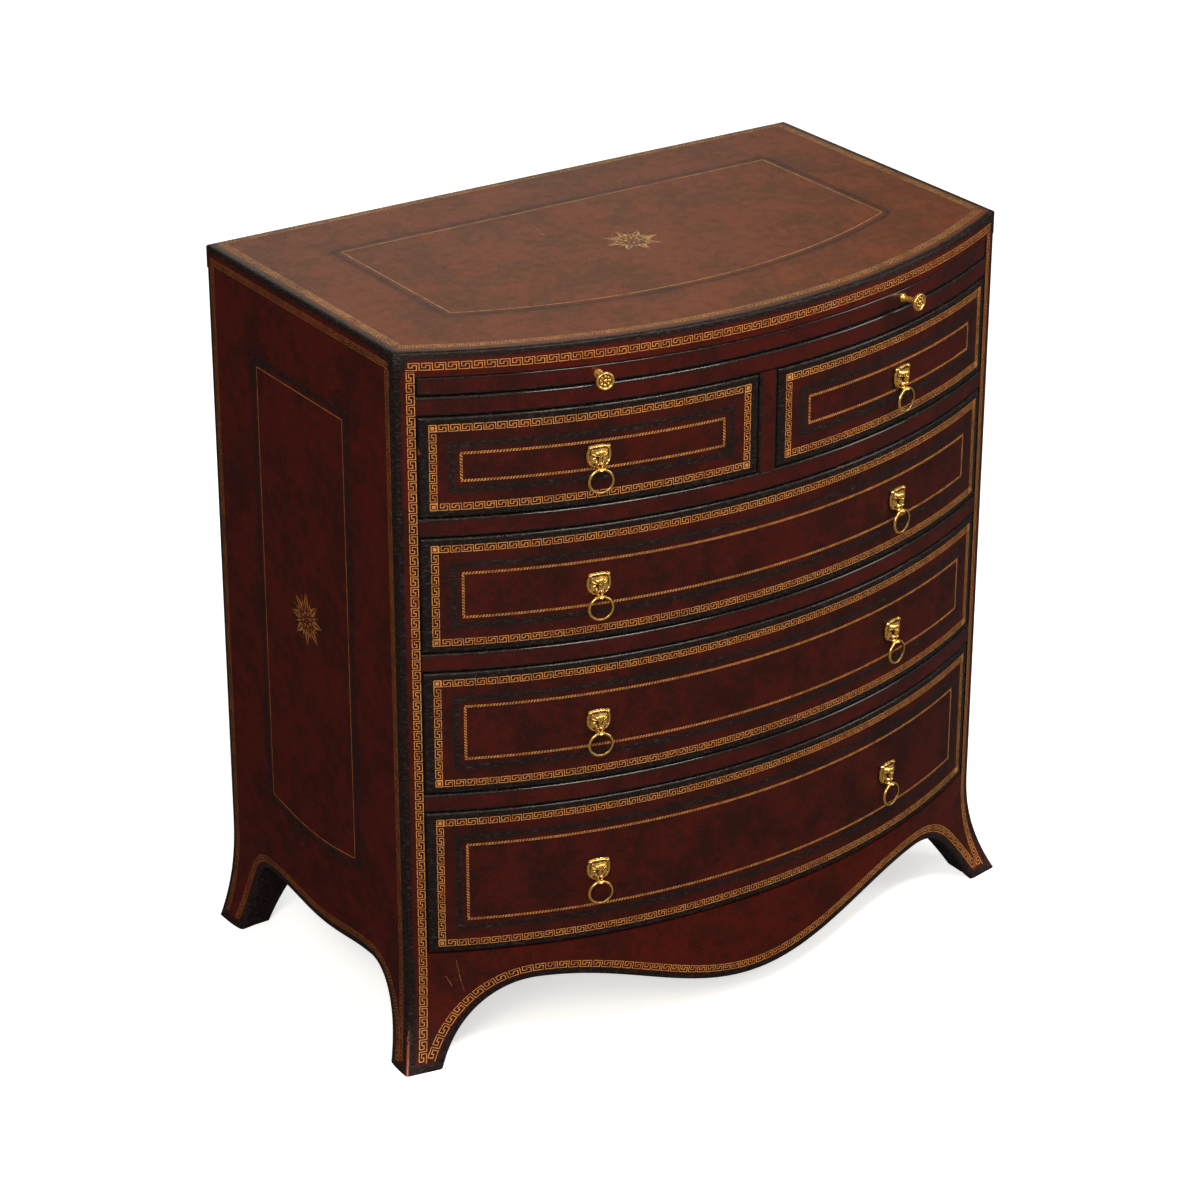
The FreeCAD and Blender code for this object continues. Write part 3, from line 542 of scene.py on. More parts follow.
top_leather = leather_finish(
    "top_leather", hide=(0.162, 0.0425, 0.0138), cloud=(0.086, 0.032, 0.0105),
    edge_width=10.5 * mm, cloudiness=0.8, frame_share=0.55, gloss=0.17, coat=0.0,
)
oxblood, oxblood_cloud = (0.070, 0.0054, 0.0024), (0.024, 0.0048, 0.0025)
case_leather = leather_finish(
    "case_leather", hide=oxblood, cloud=oxblood_cloud,
    edge_width=8.5 * mm, cloudiness=0.75, frame_share=0.8, gloss=0.16, coat=0.1,
)
foot_leather = leather_finish(
    "foot_leather", hide=oxblood, cloud=oxblood_cloud,
    edge_width=8.5 * mm, cloudiness=0.75, frame_share=0.0, gloss=0.16, coat=0.2, worn=True,
)
drawer_leather = leather_finish(
    "drawer_leather", hide=(0.056, 0.0050, 0.0026), cloud=(0.015, 0.0042, 0.0026),
    edge_width=8.6 * mm, cloudiness=0.75, frame_share=1.0, gloss=0.18, coat=0.2,
)
rail_leather = leather_finish(
    "rail_leather", hide=(0.060, 0.0046, 0.0023), cloud=(0.017, 0.0033, 0.0020),
    edge_width=7 * mm, cloudiness=0.7, frame_share=0.0, gloss=0.14, coat=0.5,
)
slide_leather = leather_finish(
    "slide_leather", hide=(0.090, 0.011, 0.006), cloud=(0.030, 0.008, 0.005),
    edge_width=7 * mm, cloudiness=0.7, frame_share=0.0, gloss=0.3, coat=0.1,
)
print("leathers", [material.name for material in bpy.data.materials if "leather" in material.name])

# %% [markdown]
# ## Gold leaf
#
# Tooling is gold leaf pressed into the leather with a hot stamp. It rubs away in places, so noise lets the
# hide show through. The leaf is only partly metal to the shader: a mirror would be black from most sides.

# %% Rubbed gold
gilt_tree, given, made = new_group(
    "rubbed gold leaf",
    [
        ("Gold", "colour", (0.8, 0.5, 0.2, 1)),
        ("Hide", "colour", (0.1, 0.02, 0.01, 1)),
        ("Rubbed", "value", 0.4),
    ],
    [("Color", "colour"), ("Leaf", "value"), ("Roughness", "value"), ("Normal", "vector")],
)
tree = gilt_tree
where = add(tree, "ShaderNodeTexCoord").outputs["Object"]
spots = noise(tree, where, 600, 4, 0.7)
areas = noise(tree, where, 40, 3, 0.6)
left = calc(tree, "ADD", calc(tree, "MULTIPLY", spots, 0.6), calc(tree, "MULTIPLY", areas, 0.4))
share = ramp(tree, calc(tree, "SUBTRACT", left, calc(tree, "MULTIPLY", given["Rubbed"], 0.3)), 0.28, 0.42)
dulled = ramp(tree, noise(tree, where, 120, 3, 0.6), 0.40, 0.66, 0.0, 0.55)
shade = mixed(tree, dulled, given["Gold"], given["Hide"])
tree.links.new(mixed(tree, share, given["Hide"], shade), made["Color"])
tree.links.new(calc(tree, "MULTIPLY", share, 0.45), made["Leaf"])
tree.links.new(ramp(tree, spots, 0.3, 0.7, 0.52, 0.34), made["Roughness"])
bump = add(tree, "ShaderNodeBump", {"Strength": 0.4, "Distance": 0.1 * mm, "Height": spots})
tree.links.new(bump.outputs[0], made["Normal"])


def gilt_finish(name, gold, hide, rubbed):
    """Gold leaf on one leather, more or less rubbed."""
    material, tree, shader, output = new_finish(name)
    leaf = placed(tree, gilt_tree, {"Gold": (*gold, 1), "Hide": (*hide, 1), "Rubbed": rubbed})
    links = [("Base Color", "Color"), ("Metallic", "Leaf"), ("Roughness", "Roughness"), ("Normal", "Normal")]
    feed(tree, shader, leaf, *links)
    return material


front_gold = gilt_finish("front_gold", (1.0, 0.45, 0.12), (0.30, 0.075, 0.014), 0.22)
side_gold = gilt_finish("side_gold", (0.50, 0.18, 0.04), (0.12, 0.032, 0.009), 0.35)
top_gold = gilt_finish("top_gold", (0.74, 0.43, 0.15), (0.17, 0.07, 0.026), 0.40)
scratched_hide = gilt_finish("scratched_hide", (0.62, 0.26, 0.10), (0.10, 0.03, 0.013), 0.55)
print("gold finishes from", len(gilt_tree.nodes), "nodes")

# %% [markdown]
# ## Cast brass
#
# The lion masks are cast, so they are bright on their high spots and brown in their hollows, with tarnish and
# with painted shade. Shading the hollows by ambient occlusion would be slow and is lost in the export, so that
# shade is painted into the colour. So each point carries a number for how hollow it is, under the same name,
# `inset`, that the leather uses for its edges.

# %% Old brass
brass_tree, given, made = new_group(
    "old brass",
    [
        ("Metal", "colour", (0.8, 0.5, 0.15, 1)),
        ("Tarnish and Shade", "colour", (0.12, 0.05, 0.015, 1)),
        ("Hollow", "value", 0.0),
    ],
    [("Color", "colour"), ("Roughness", "value"), ("Normal", "vector")],
)
tree = brass_tree
where = add(tree, "ShaderNodeTexCoord").outputs["Object"]
spots = noise(tree, where, 260, 4, 0.65)
fine = noise(tree, where, 400, 3, 0.6)
uneven = calc(tree, "MULTIPLY", calc(tree, "SUBTRACT", spots, 0.5), 0.45)
# Hollow places turn towards the brown: tarnish, and painted shade in the recesses.
share = ramp(tree, calc(tree, "ADD", given["Hollow"], uneven), 0.20, 0.80)
tree.links.new(mixed(tree, share, given["Metal"], given["Tarnish and Shade"]), made["Color"])
dull_hollows = calc(tree, "MULTIPLY", share, 0.20)
polish = calc(tree, "ADD", calc(tree, "MULTIPLY", spots, 0.12), 0.17)
tree.links.new(calc(tree, "ADD", dull_hollows, polish), made["Roughness"])
bump = add(tree, "ShaderNodeBump", {"Strength": 0.02, "Distance": 0.1 * mm, "Height": fine})
tree.links.new(bump.outputs[0], made["Normal"])
brass_tarnish_and_shade = (0.065, 0.019, 0.004, 1)


def brass_finish(name, metal):
    """Cast brass whose hollows, told by the points' own number, are brown with tarnish and painted shade."""
    material, tree, shader, output = new_finish(name)
    hollow = add(tree, "ShaderNodeAttribute", attribute_name="inset").outputs["Fac"]
    cast = placed(tree, brass_tree, {"Metal": (*metal, 1), "Tarnish and Shade": brass_tarnish_and_shade, "Hollow": hollow})
    feed(tree, shader, cast, ("Base Color", "Color"), ("Roughness", "Roughness"), ("Normal", "Normal"))
    shader.inputs["Metallic"].default_value = 0.8
    shader.inputs["Coat Weight"].default_value = 0.7
    shader.inputs["Coat Roughness"].default_value = 0.16
    return material


cast_brass = brass_finish("cast_brass", (1.0, 0.56, 0.12))
print("brass group", len(brass_tree.nodes), "nodes")

# %% [markdown]
# ## Wood and iron
#
# Inside the case, plain wood shows grain that runs along each board. The same noise in all directions would
# look like marble, so a Mapping node stretches it along the board. The back is held by cut nails of rusty
# iron.

# %% Planed wood
wood_tree, given, made = new_group(
    "planed wood",
    [
        ("Where", "vector", (0, 0, 0)),
        ("Light", "colour", (0.5, 0.3, 0.16, 1)),
        ("Dark", "colour", (0.3, 0.16, 0.08, 1)),
    ],
    [("Color", "colour"), ("Roughness", "value"), ("Normal", "vector")],
)
tree = wood_tree
rings = noise(tree, given["Where"], 9, 5, 0.6)
lines = noise(tree, given["Where"], 55, 4, 0.6)
pores = noise(tree, given["Where"], 240, 2, 0.5)
broad = calc(tree, "MULTIPLY", ramp(tree, rings, 0.35, 0.65), 0.55)
narrow = calc(tree, "MULTIPLY", ramp(tree, lines, 0.3, 0.7), 0.45)
colour = mixed(tree, calc(tree, "ADD", broad, narrow), given["Light"], given["Dark"])
colour = mixed(tree, ramp(tree, pores, 0.62, 0.72, 0.0, 0.5), colour, given["Dark"])
tree.links.new(colour, made["Color"])
tree.links.new(ramp(tree, lines, 0.3, 0.7, 0.5, 0.68), made["Roughness"])
bump = add(tree, "ShaderNodeBump", {"Strength": 0.3, "Distance": 0.3 * mm, "Height": pores})
tree.links.new(bump.outputs[0], made["Normal"])


def wood_finish(name, light, dark, stretch):
    """Wood whose grain runs along the axis with the small number in stretch."""
    material, tree, shader, output = new_finish(name)
    place = add(tree, "ShaderNodeTexCoord").outputs["Object"]
    turned = add(tree, "ShaderNodeMapping", {"Vector": place, "Scale": stretch}).outputs[0]
    grain = placed(tree, wood_tree, {"Where": turned, "Light": (*light, 1), "Dark": (*dark, 1)})
    feed(tree, shader, grain, ("Base Color", "Color"), ("Roughness", "Roughness"), ("Normal", "Normal"))
    return material


light_wood, dark_wood = (0.50, 0.30, 0.15), (0.29, 0.15, 0.065)
wood_across = wood_finish("wood_across", light_wood, dark_wood, (0.06, 1.0, 1.0))
wood_deep = wood_finish("wood_deep", light_wood, dark_wood, (1.0, 0.06, 1.0))
stain_light, stain_dark = (0.060, 0.030, 0.016), (0.020, 0.011, 0.007)
stained_back = wood_finish("stained_back", stain_light, stain_dark, (1.0, 1.0, 0.06))
stained_apron = wood_finish("stained_apron", stain_light, stain_dark, (0.06, 1.0, 1.0))
print("wood group", len(wood_tree.nodes), "nodes")

# %% Iron of the nails
iron_grey, rust_brown = (0.13, 0.12, 0.11, 1), (0.09, 0.035, 0.015, 1)
cut_iron, tree, shader, output = new_finish("cut_iron")
place = add(tree, "ShaderNodeTexCoord").outputs["Object"]
rust = noise(tree, place, 500, 4, 0.7)
rusty = mixed(tree, ramp(tree, rust, 0.45, 0.65), iron_grey, rust_brown)
tree.links.new(rusty, shader.inputs["Base Color"])
tree.links.new(ramp(tree, rust, 0.4, 0.7, 0.45, 0.8), shader.inputs["Roughness"])
bump = add(tree, "ShaderNodeBump", {"Strength": 0.4, "Distance": 0.2 * mm, "Height": rust})
tree.links.new(bump.outputs[0], shader.inputs["Normal"])
shader.inputs["Metallic"].default_value = 0.8
print("finishes", len(bpy.data.materials))

# %% [markdown]
# ## The inner boards
#
# The boards inside and the back already have the right shape in the frame, and few eyes see them. So their
# meshes are left alone, and they only get a wood whose grain runs the way each board was cut.

# %% Finishes for the frame's own boards
node_finish = {
    "dust_boards": wood_across,
    "bottom_board": wood_across,
    "drawer_guides": wood_deep,
    "drawer_stops": wood_across,
    "back_panel": stained_back,
    "back_apron": stained_apron,
    "back_nails": cut_iron,
}
drawers = ["short_left", "short_right", "long_low", "long_middle", "long_high"]
for drawer in drawers:
    node_finish[drawer + "_sides"] = wood_deep
    node_finish[drawer + "_back"] = wood_across
    node_finish[drawer + "_bottom"] = wood_across
for name, material in node_finish.items():
    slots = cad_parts[name].material_slots
    if len(slots) == 0:
        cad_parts[name].data.materials.append(material)
    for place in slots:
        place.material = material
print("dressed", len(node_finish), "nodes")

# %% [markdown]
# ## Drawer fronts, rails, divider and slide
#
# All of these are strips of the same bow. Padded leather rounds their edges. A box that is bent by a modifier
# would do for the shape, but here each point must also know how far it is from its edges. The drawer fronts
# carry both numbers on all four sides, while the rails only darken along their upper and lower edges.

# %% Strips of the bow
drawer_frame_end, drawer_frame_rise = 42.1 * mm, 39.3 * mm
plain_marks = np.array([4, 7]) * mm
drawer_end_marks = np.array([5, 6.4, 8.4, 10.4, 12.4, 29, 31.5, 34.5, 42]) * mm
drawer_rise_marks = np.array([4, 6, 8, 10, 26, 29, 32, 39]) * mm


def bow_board(
    name, x0, x1, z0, z1, set_back, thickness, rounding, body, leather, stands_for,
    framed=False, shift=0.0, dark_ends=False,
):
    """A curved board: outer sheet on the bow, rounded at its edges, and an inner sheet one thickness behind.

    A framed board has the pressed frame and dark ends. Shift moves the black edge outwards.
    """
    ends = along_bow(np.array([x0, x1]))
    s = edge_steps(ends[0], ends[1], rounding, drawer_end_marks if framed else plain_marks, 12 * mm)
    z = edge_steps(z0, z1, rounding, drawer_rise_marks if framed else plain_marks, 12 * mm)
    s, z = np.meshgrid(s, z, indexing="ij")
    end_run = np.minimum(s - ends[0], ends[1] - s)
    rise_run = np.minimum(z - z0, z1 - z)
    fall = rounding_depth(rise_run, rounding)
    nearest, panel = rise_run, far_off
    if framed:
        fall = np.maximum(rounding_depth(end_run, rounding), fall)
        end_dark = np.maximum(end_run - 2.4 * mm, np.minimum(end_run, 2.6 * mm))
        nearest = np.minimum(end_dark, rise_run)
        panel = np.maximum(drawer_frame_end - end_run, drawer_frame_rise - rise_run)
    elif dark_ends:
        nearest = np.minimum(end_run, rise_run)
    outer = sheet(on_front(s, z, set_back + skin + fall), nearest + shift, panel)
    inner = sheet(on_front(s, z, set_back + thickness), 0.0, far_off, 1)
    return piece(name, boarded(outer, inner), body, [leather, wood_across], stands_for)


for drawer in drawers:
    low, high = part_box(drawer + "_front")
    bow_board(
        drawer + "_front_leather", low[0], high[0], low[2], high[2], 0.0, 20 * mm, 2.6 * mm,
        drawer, drawer_leather, [drawer + "_front"], framed=True,
    )
for rail in ("rail_low", "rail_middle", "rail_under_short_drawers", "rail_under_slide"):
    low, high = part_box(rail)
    bow_board(
        rail + "_leather", low[0], high[0], low[2], high[2], 0.0, 40 * mm, 2.6 * mm,
        "case", rail_leather, [rail], shift=4 * mm,
    )
low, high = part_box("slide_lipping")
slide_back, lipping_thick = 1 * mm, 14 * mm
bow_board(
    "slide_front_leather", low[0], high[0], low[2], high[2], slide_back, lipping_thick, 1.8 * mm,
    "slide", rail_leather, ["slide_lipping"], shift=4.5 * mm, dark_ends=True,
)
print("drawer fronts and rails ready")

# %% The upright between the short drawers
def bow_upright(name, x0, x1, z0, z1, thickness, rounding):
    """A narrow upright of the bow, rounded along both long edges."""
    ends = along_bow(np.array([x0, x1]))
    s = edge_steps(ends[0], ends[1], rounding, plain_marks, 6 * mm)
    s, z = np.meshgrid(s, np.linspace(z0, z1, 3), indexing="ij")
    run = np.minimum(s - ends[0], ends[1] - s)
    outer = sheet(on_front(s, z, skin + rounding_depth(run, rounding)), run + 4 * mm)
    inner = sheet(on_front(s, z, thickness), 0.0, far_off, 1)
    finishes = [rail_leather, wood_across]
    return piece(name, boarded(outer, inner), "case", finishes, ["short_drawer_divider"])


low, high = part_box("short_drawer_divider")
bow_upright("short_drawer_divider_leather", low[0], high[0], low[2], high[2], 40 * mm, lip_round)
print("divider", round((high[0] - low[0]) / mm, 1), "mm wide")

# %% [markdown]
# ## Top, sides and front posts
#
# The top is one sheet from its lower edge over the rounded rim. The posts carry the front corner, so each
# is an outline in plan drawn straight up. The sides are flat, and continue the posts without a step. Rows
# of points lie where the pressed frame runs, so that its number changes along a straight line.

# %% The top board
frame_marks = np.array([0, 4, 8.5, 13, 20]) * mm
marks = np.array([6, 9, 12]) * mm
top_frame_x = half - 110 * mm
top_frame_rear = back_y - 106 * mm
top_frame_front = 112 * mm
x = edge_steps(skin - half, half - skin, top_round, marks, 14 * mm)
x = np.unique(np.concatenate([x, -(top_frame_x + frame_marks), top_frame_x + frame_marks]))
length = back_y - corner_y
v = edge_steps(skin, length - skin, top_round, marks, 14 * mm)
x, v = np.meshgrid(x, v, indexing="ij")
side_run = half - skin - np.abs(x)
end_run = np.minimum(v, length - v) - skin
fall = np.maximum(rounding_depth(side_run, top_round), rounding_depth(end_run, top_round))
surface = on_top(x, v, skin + fall)
slope = np.sqrt(1 - (x / bow_radius) ** 2)
front_run = (surface[..., 1] - arc_y(x)) * slope
across_frame, rear_frame = np.abs(x) - top_frame_x, surface[..., 1] - top_frame_rear
outside = np.maximum.reduce([across_frame, rear_frame, top_frame_front - front_run])
nearest = np.minimum(side_run, end_run)
outer = sheet(surface, nearest + 3 * mm, outside)
from_corner = np.hypot(half - np.abs(x), surface[..., 1] - corner_y)
corner_dark = np.clip(from_corner - 1 * mm, 0, 30 * mm)
under = sheet(on_top(x, v, case_top - top_under), corner_dark, far_off, 1)
top_sheets = [outer, under]
for part in (np.s_[0, :], np.s_[-1, :], np.s_[:, 0], np.s_[:, -1]):
    upper, lower = outer["points"][part], under["points"][part]
    far = np.full(len(upper), far_off)
    top_sheets.append(strip((upper, far * 0 + 2 * mm, far, 2), (lower, under["inset"][part], far, 2)))
top_finishes = [top_leather, wood_across, case_leather]
piece("top_leather_board", top_sheets, "case", top_finishes, ["top_board"])
print("top", len(x), "columns")

# %% Closed uprights
def upright(name, outline, insets, z_steps, panel_of, body, finishes, stands_for):
    """A post: its closed plan outline repeated at each height, with a lid of triangles at both ends."""
    ring = np.concatenate([outline, outline[:1]])
    run = np.append(insets, insets[0])
    points = np.stack([np.column_stack([ring, np.full(len(ring), z)]) for z in z_steps])
    wall = sheet(points, run[None, :] + 0 * points[..., 0], panel_of(points))
    lids = []
    for row in (points[0], points[-1]):
        heart = row * 0 + [*outline.mean(axis=0), row[0, 2]]
        lids.append(sheet(np.stack([row, heart]), far_off))
    return piece(name, [wall] + lids, body, finishes, stands_for)


def corner_round(a, corner, b, count=6):
    """Points along a rounded corner: a parabola from a to b pulled towards the corner."""
    share = np.linspace(0, 1, count)[:, None]
    return (1 - share) ** 2 * a + 2 * share * (1 - share) * corner + share ** 2 * b


print("a rounded corner from 0 to 1 passes", corner_round(0.0, 0.0, 1.0, 3)[:, 0])

# %% Outline of a front post
def post_outline(hand):
    """Plan of a front post: inner rounded edge, the bow, the rounded arris, the side, and back inside."""
    soft, inner_soft = arris_soft, 2 * mm
    out = half - skin
    inner = np.array([opening_half, arc_y(opening_half, skin)])
    arris = np.array([out, arc_y(out, skin)])
    bow_x = np.linspace(opening_half + inner_soft, out - soft, 8)
    bow = np.column_stack([bow_x, arc_y(bow_x, skin)])
    start = np.array([opening_half, arc_y(opening_half, skin) + inner_soft])
    side_y = np.linspace(arris[1] + soft, stile_back, 6)
    side = np.column_stack([np.full(6, out), side_y])
    inner_part, arris_part = corner_round(start, inner, bow[0], 5), corner_round(bow[-1], arris, side[0], 9)
    rows = [inner_part, bow[1:-1], arris_part, side[1:]]
    outer = np.concatenate(rows)
    outline = np.concatenate([outer, [[opening_half, stile_back]]])
    nearest = np.hypot(outline[:, 0] - arris[0], outline[:, 1] - arris[1])
    nearest[-1] = far_off
    inner_run = outline[:, 0] - opening_half + 5.4 * mm
    shift = np.where(outline[:, 1] < arris[1] + soft / 2, 1.2 * mm, -1 * mm)
    return outline * (hand, 1), np.maximum(np.minimum(nearest + shift, inner_run), 0)


def plain_panel(points):
    """No inner frame: a large distance everywhere."""
    return np.full(points.shape[:2], far_off)


print("the outline of a post has", len(post_outline(1)[0]), "points")

# %% Front posts and sides
side_frame_front, side_frame_rear = corner_y + 108 * mm, back_y - 105 * mm
side_frame_low, side_frame_high = 203 * mm, case_top - 110 * mm
side_frame_sag = 10 * mm


def side_panel(points):
    """How far a point of a side is outside its inner gold line, whose lower edge sags by a sine."""
    y, z = points[..., 1], points[..., 2]
    share = np.clip((y - side_frame_front) / (side_frame_rear - side_frame_front), 0, 1)
    low = side_frame_low - side_frame_sag * np.sin(math.pi * share)
    return np.maximum.reduce([side_frame_front - y, y - side_frame_rear, low - z, z - side_frame_high])


for hand, word in ((1, "right"), (-1, "left")):
    outline, nearest = post_outline(hand)
    upright(
        "front_post_leather_" + word, outline, nearest, np.linspace(base_top, top_under, 3), plain_panel,
        "case", [case_leather], ["stile_" + word],
    )
    marks = np.concatenate([side_frame_front - frame_marks, side_frame_rear + frame_marks])
    soft_end = back_y - top_round * (1 - np.cos(np.linspace(0, math.pi / 2, 6)))
    y = np.unique(np.concatenate([np.linspace(stile_back, back_y, 26), marks, soft_end]))
    z = np.unique(np.concatenate([np.linspace(base_top, top_under, 48), side_frame_high + frame_marks]))
    y, z = np.meshgrid(y, z, indexing="ij")
    out = hand * (half - skin - rounding_depth(back_y - y, top_round))
    outer = sheet(np.stack([out, y, z], -1), np.minimum(back_y - y, y - corner_y))
    outer["panel"] = side_panel(outer["points"])
    inner_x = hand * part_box("side_right")[0][0]
    inner = sheet(np.stack([inner_x + 0 * y, y, z], -1), far_off, far_off, 1)
    side_boards = boarded(outer, inner)
    finishes = [case_leather, wood_deep]
    piece("side_leather_" + word, side_boards, "case", finishes, ["side_" + word])
print("posts and sides ready")

# %% [markdown]
# ## Feet and aprons
#
# The base is the hard part. Each foot has two wings that meet at a rounded arris and splay outwards towards
# the floor, and an arch is cut under each wing. A boolean cut would leave ragged faces along the arch. So a
# wing is drawn as rows from the arch's edge to its spine: first up the arris, then along the top. Every row
# meets the arch squarely, and the rounded lower edge stays even.

# %% Sizes and surfaces of the base
thick = 20 * mm
flare_top = base_top * 0.944
splay_side, splay_front = 23 * mm, 31 * mm
front_wing, side_wing, rear_wing, back_wing = 133 * mm, 80 * mm, 98 * mm, 106 * mm
front_crest, side_crest = base_top * 0.6934, base_top * 0.7062
front_lobe, side_lobe = base_top * 0.4192, base_top * 0.068
flare_power = 2.4
arch_power, rear_arch_power = 2.2, 4.0
front_toe, side_toe, rear_toe = 41.3 * mm, 38.1 * mm, 46 * mm
floor_gap = 1 * mm


def flare(z):
    """Share of the splay at a height: one on the floor, none at the flare's top, falling as a power."""
    return np.maximum(0, (flare_top - z) / flare_top) ** flare_power


def toe_weight(share):
    """How much a side wing splays: one at the toe, none at its end, from 1 - 5 s^4 + 4 s^5."""
    return 1 - 5 * share ** 4 + 4 * share ** 5


def front_base(x, z, depth=0.0):
    """The right half of the base's front at plan x: the bow, plus a splay.

    The splay is (1 - share) to the power 1.5, where share runs from the corner to the wing's end.
    """
    share = np.clip((half - x) / front_wing, 0, 1)
    plan = np.where(share < 1, half - depth - share * (front_wing - depth), x)
    amount = flare(z) * (1 - share) ** 1.5
    return np.stack([plan + amount * splay_side, arc_y(plan, depth) - amount * splay_front, z + 0 * plan], -1)


def side_base(y, z, depth=0.0):
    """The right side of the base at plan y: flat, plus the splay of the front foot and of the rear foot."""
    fore = np.clip((y - corner_y) / side_wing, 0, 1)
    aft = np.clip((back_y - y) / rear_wing, 0, 1)
    start = arc_y(half - depth, depth)
    plan = np.where(fore < 1, start + fore * (corner_y + side_wing - start), y)
    plan = np.where(aft < 1, back_y - depth - aft * (rear_wing - depth), plan)
    fore_amount, aft_amount = flare(z) * toe_weight(fore), flare(z) * toe_weight(aft)
    out = half - depth + (fore_amount + aft_amount) * splay_side
    return np.stack([out, plan - fore_amount * splay_front, z + 0 * out], -1)


def back_base(x, z, depth=0.0):
    """The right half of the base's back at plan x: straight from the splayed corner to the wing's end."""
    share = (half - x) / back_wing
    corner = half - depth + flare(z) * splay_side
    out = corner + share * (half - back_wing - corner)
    return np.stack([out, back_y - depth + 0 * out, z + 0 * out], -1)


print("the wings splay by", round(splay_side / mm), "and", round(splay_front / mm), "mm")

# %% Arches
def arch_edge(surface, axis, corner, end, toe, crest, power, q, depth=0.0):
    """Plan place and height of an arch's edge on a surface.

    The arch is a power curve. Its place in plan is found by halving the reach again and again.
    """
    z = crest * (1 - (1 - q) ** power)
    target = end + (toe - end) * (1 - q)
    near, far = np.full_like(q, corner), np.full_like(q, end)
    way = math.copysign(1, end - corner)
    for _ in range(36):
        middle = (near + far) / 2
        short = (surface(middle, z, depth)[..., axis] - target) * way < 0
        near, far = np.where(short, middle, near), np.where(short, far, middle)
    return far, z


side_toe_y = corner_y - splay_front + side_toe
arches = {
    "front": (front_base, 0, half, half - front_wing, half + splay_side - front_toe, front_crest, arch_power),
    "side": (side_base, 1, corner_y, corner_y + side_wing, side_toe_y, side_crest, arch_power),
    "rear": (side_base, 1, back_y, back_y - rear_wing, back_y - rear_toe, side_crest, rear_arch_power),
    "back": (back_base, 0, half, half - back_wing, half + splay_side - front_toe, side_crest, arch_power),
}
rows_up, rows_over = 26, 16
print("arches", {kind: round(float(values[5]) / mm, 1) for kind, values in arches.items()})

# %% Wings
def wing(kind):
    """Outer and inner sheets of a wing.

    A row runs straight, in plan place and height, from the arch to the spine.
    """
    surface, axis, corner, end, toe, crest, power = arches[kind]
    soft = math.copysign(arris_soft, end - corner)
    q = np.linspace(0, 1, rows_up + rows_over + 1)
    up = np.linspace(0, 1, rows_up + 1) ** 1.15
    over = np.linspace(0, 1, rows_over + 1)[1:]
    over_a = corner + soft + (end - corner - soft) * over
    spine_a = np.concatenate([np.full(rows_up + 1, corner + soft), over_a])
    spine_z = np.concatenate([base_top * up, np.full(rows_over, base_top)])
    edge_a, edge_z = arch_edge(surface, axis, corner, end, toe, crest, power, q)
    run = np.hypot(spine_a - edge_a, spine_z - edge_z)[:, None]
    turn = lip_round * (1 - np.cos(np.linspace(0, math.pi / 2, 6)))
    share = np.linspace(0, 1, 15)[1:]
    along = np.concatenate([turn[None, :] + 0 * run, turn[-1] + (run - turn[-1]) * share], axis=1)
    a = edge_a[:, None] + (spine_a - edge_a)[:, None] * along / run
    z = edge_z[:, None] + (spine_z - edge_z)[:, None] * along / run
    shift = 1.2 * mm if kind == "front" else 0
    nearest = np.minimum.reduce([along, np.abs(a - corner) + shift, z + floor_gap])
    outer = sheet(surface(a, z, skin + rounding_depth(along, lip_round)), nearest, np.abs(a - corner))
    deep_a, deep_z = arch_edge(surface, axis, corner, end, toe, crest, power, q, thick)
    a = deep_a[:, None] + (spine_a - deep_a)[:, None] * along / run
    z = deep_z[:, None] + (spine_z - deep_z)[:, None] * along / run
    return outer, sheet(surface(a, z, thick), 5 * mm, far_off, 1)


print("points of a wing", wing("front")[0]["points"].shape[:2])

# %% Feet
def foot(name, kinds, hand, stands_for):
    """A foot: two wings and the rounded arris between them.

    Walls close it under the arches, on the floor, on top and at the ends.
    """
    sheets, spines = [], []
    for kind in kinds:
        outer, inner = wing(kind)
        sheets += [outer, inner, strip(rim(outer, np.s_[:, 0]), rim(inner, np.s_[:, 0]))]
        sheets.append(strip(rim(outer, np.s_[0, :]), rim(inner, np.s_[0, :])))
        sheets.append(strip(rim(outer, np.s_[-1, :]), rim(inner, np.s_[-1, :])))
        sheets.append(strip(rim(outer, np.s_[rows_up:, -1]), rim(inner, np.s_[rows_up:, -1])))
        spines.append((outer["points"][: rows_up + 1, -1], inner["points"][: rows_up + 1, -1]))
    surface, corner = arches[kinds[0]][0], arches[kinds[0]][2]
    z = spines[0][0][:, 2]
    tips = surface(np.full_like(z, corner), z, skin), surface(np.full_like(z, corner), z, thick)
    share = np.linspace(0, 1, 9)[None, :, None]
    rounds = []
    for level in (0, 1):
        a, b, tip = spines[0][level][:, None], spines[1][level][:, None], tips[level][:, None]
        rounds.append((1 - share) ** 2 * a + 2 * share * (1 - share) * tip + share ** 2 * b)
    run = arris_soft * np.abs(np.linspace(-1, 1, 9))[None, :]
    arris, hollow = sheet(rounds[0], run, run), sheet(rounds[1], 0.0, far_off, 1)
    sheets += [arris, hollow]
    for row in (0, -1):
        sheets.append(strip(rim(arris, np.s_[row, :]), rim(hollow, np.s_[row, :])))
    for s in sheets:
        s["points"] = s["points"] * (hand, 1, 1)
    return piece(name, sheets, "case", [foot_leather, wood_across], [stands_for])


for hand, word in ((1, "right"), (-1, "left")):
    foot("front_foot_leather_" + word, ("front", "side"), hand, "front_foot_" + word)
    foot("rear_foot_leather_" + word, ("back", "rear"), hand, "rear_foot_" + word)
print("feet ready")

# %% Corner blocks
def arch_place(kind, z):
    """Where an arch's edge is at a height: the power curve solved for the place."""
    surface, axis, corner, end, toe, crest, power = arches[kind]
    return end + (toe - end) * np.maximum(1 - z / crest, 0) ** (1 / power)


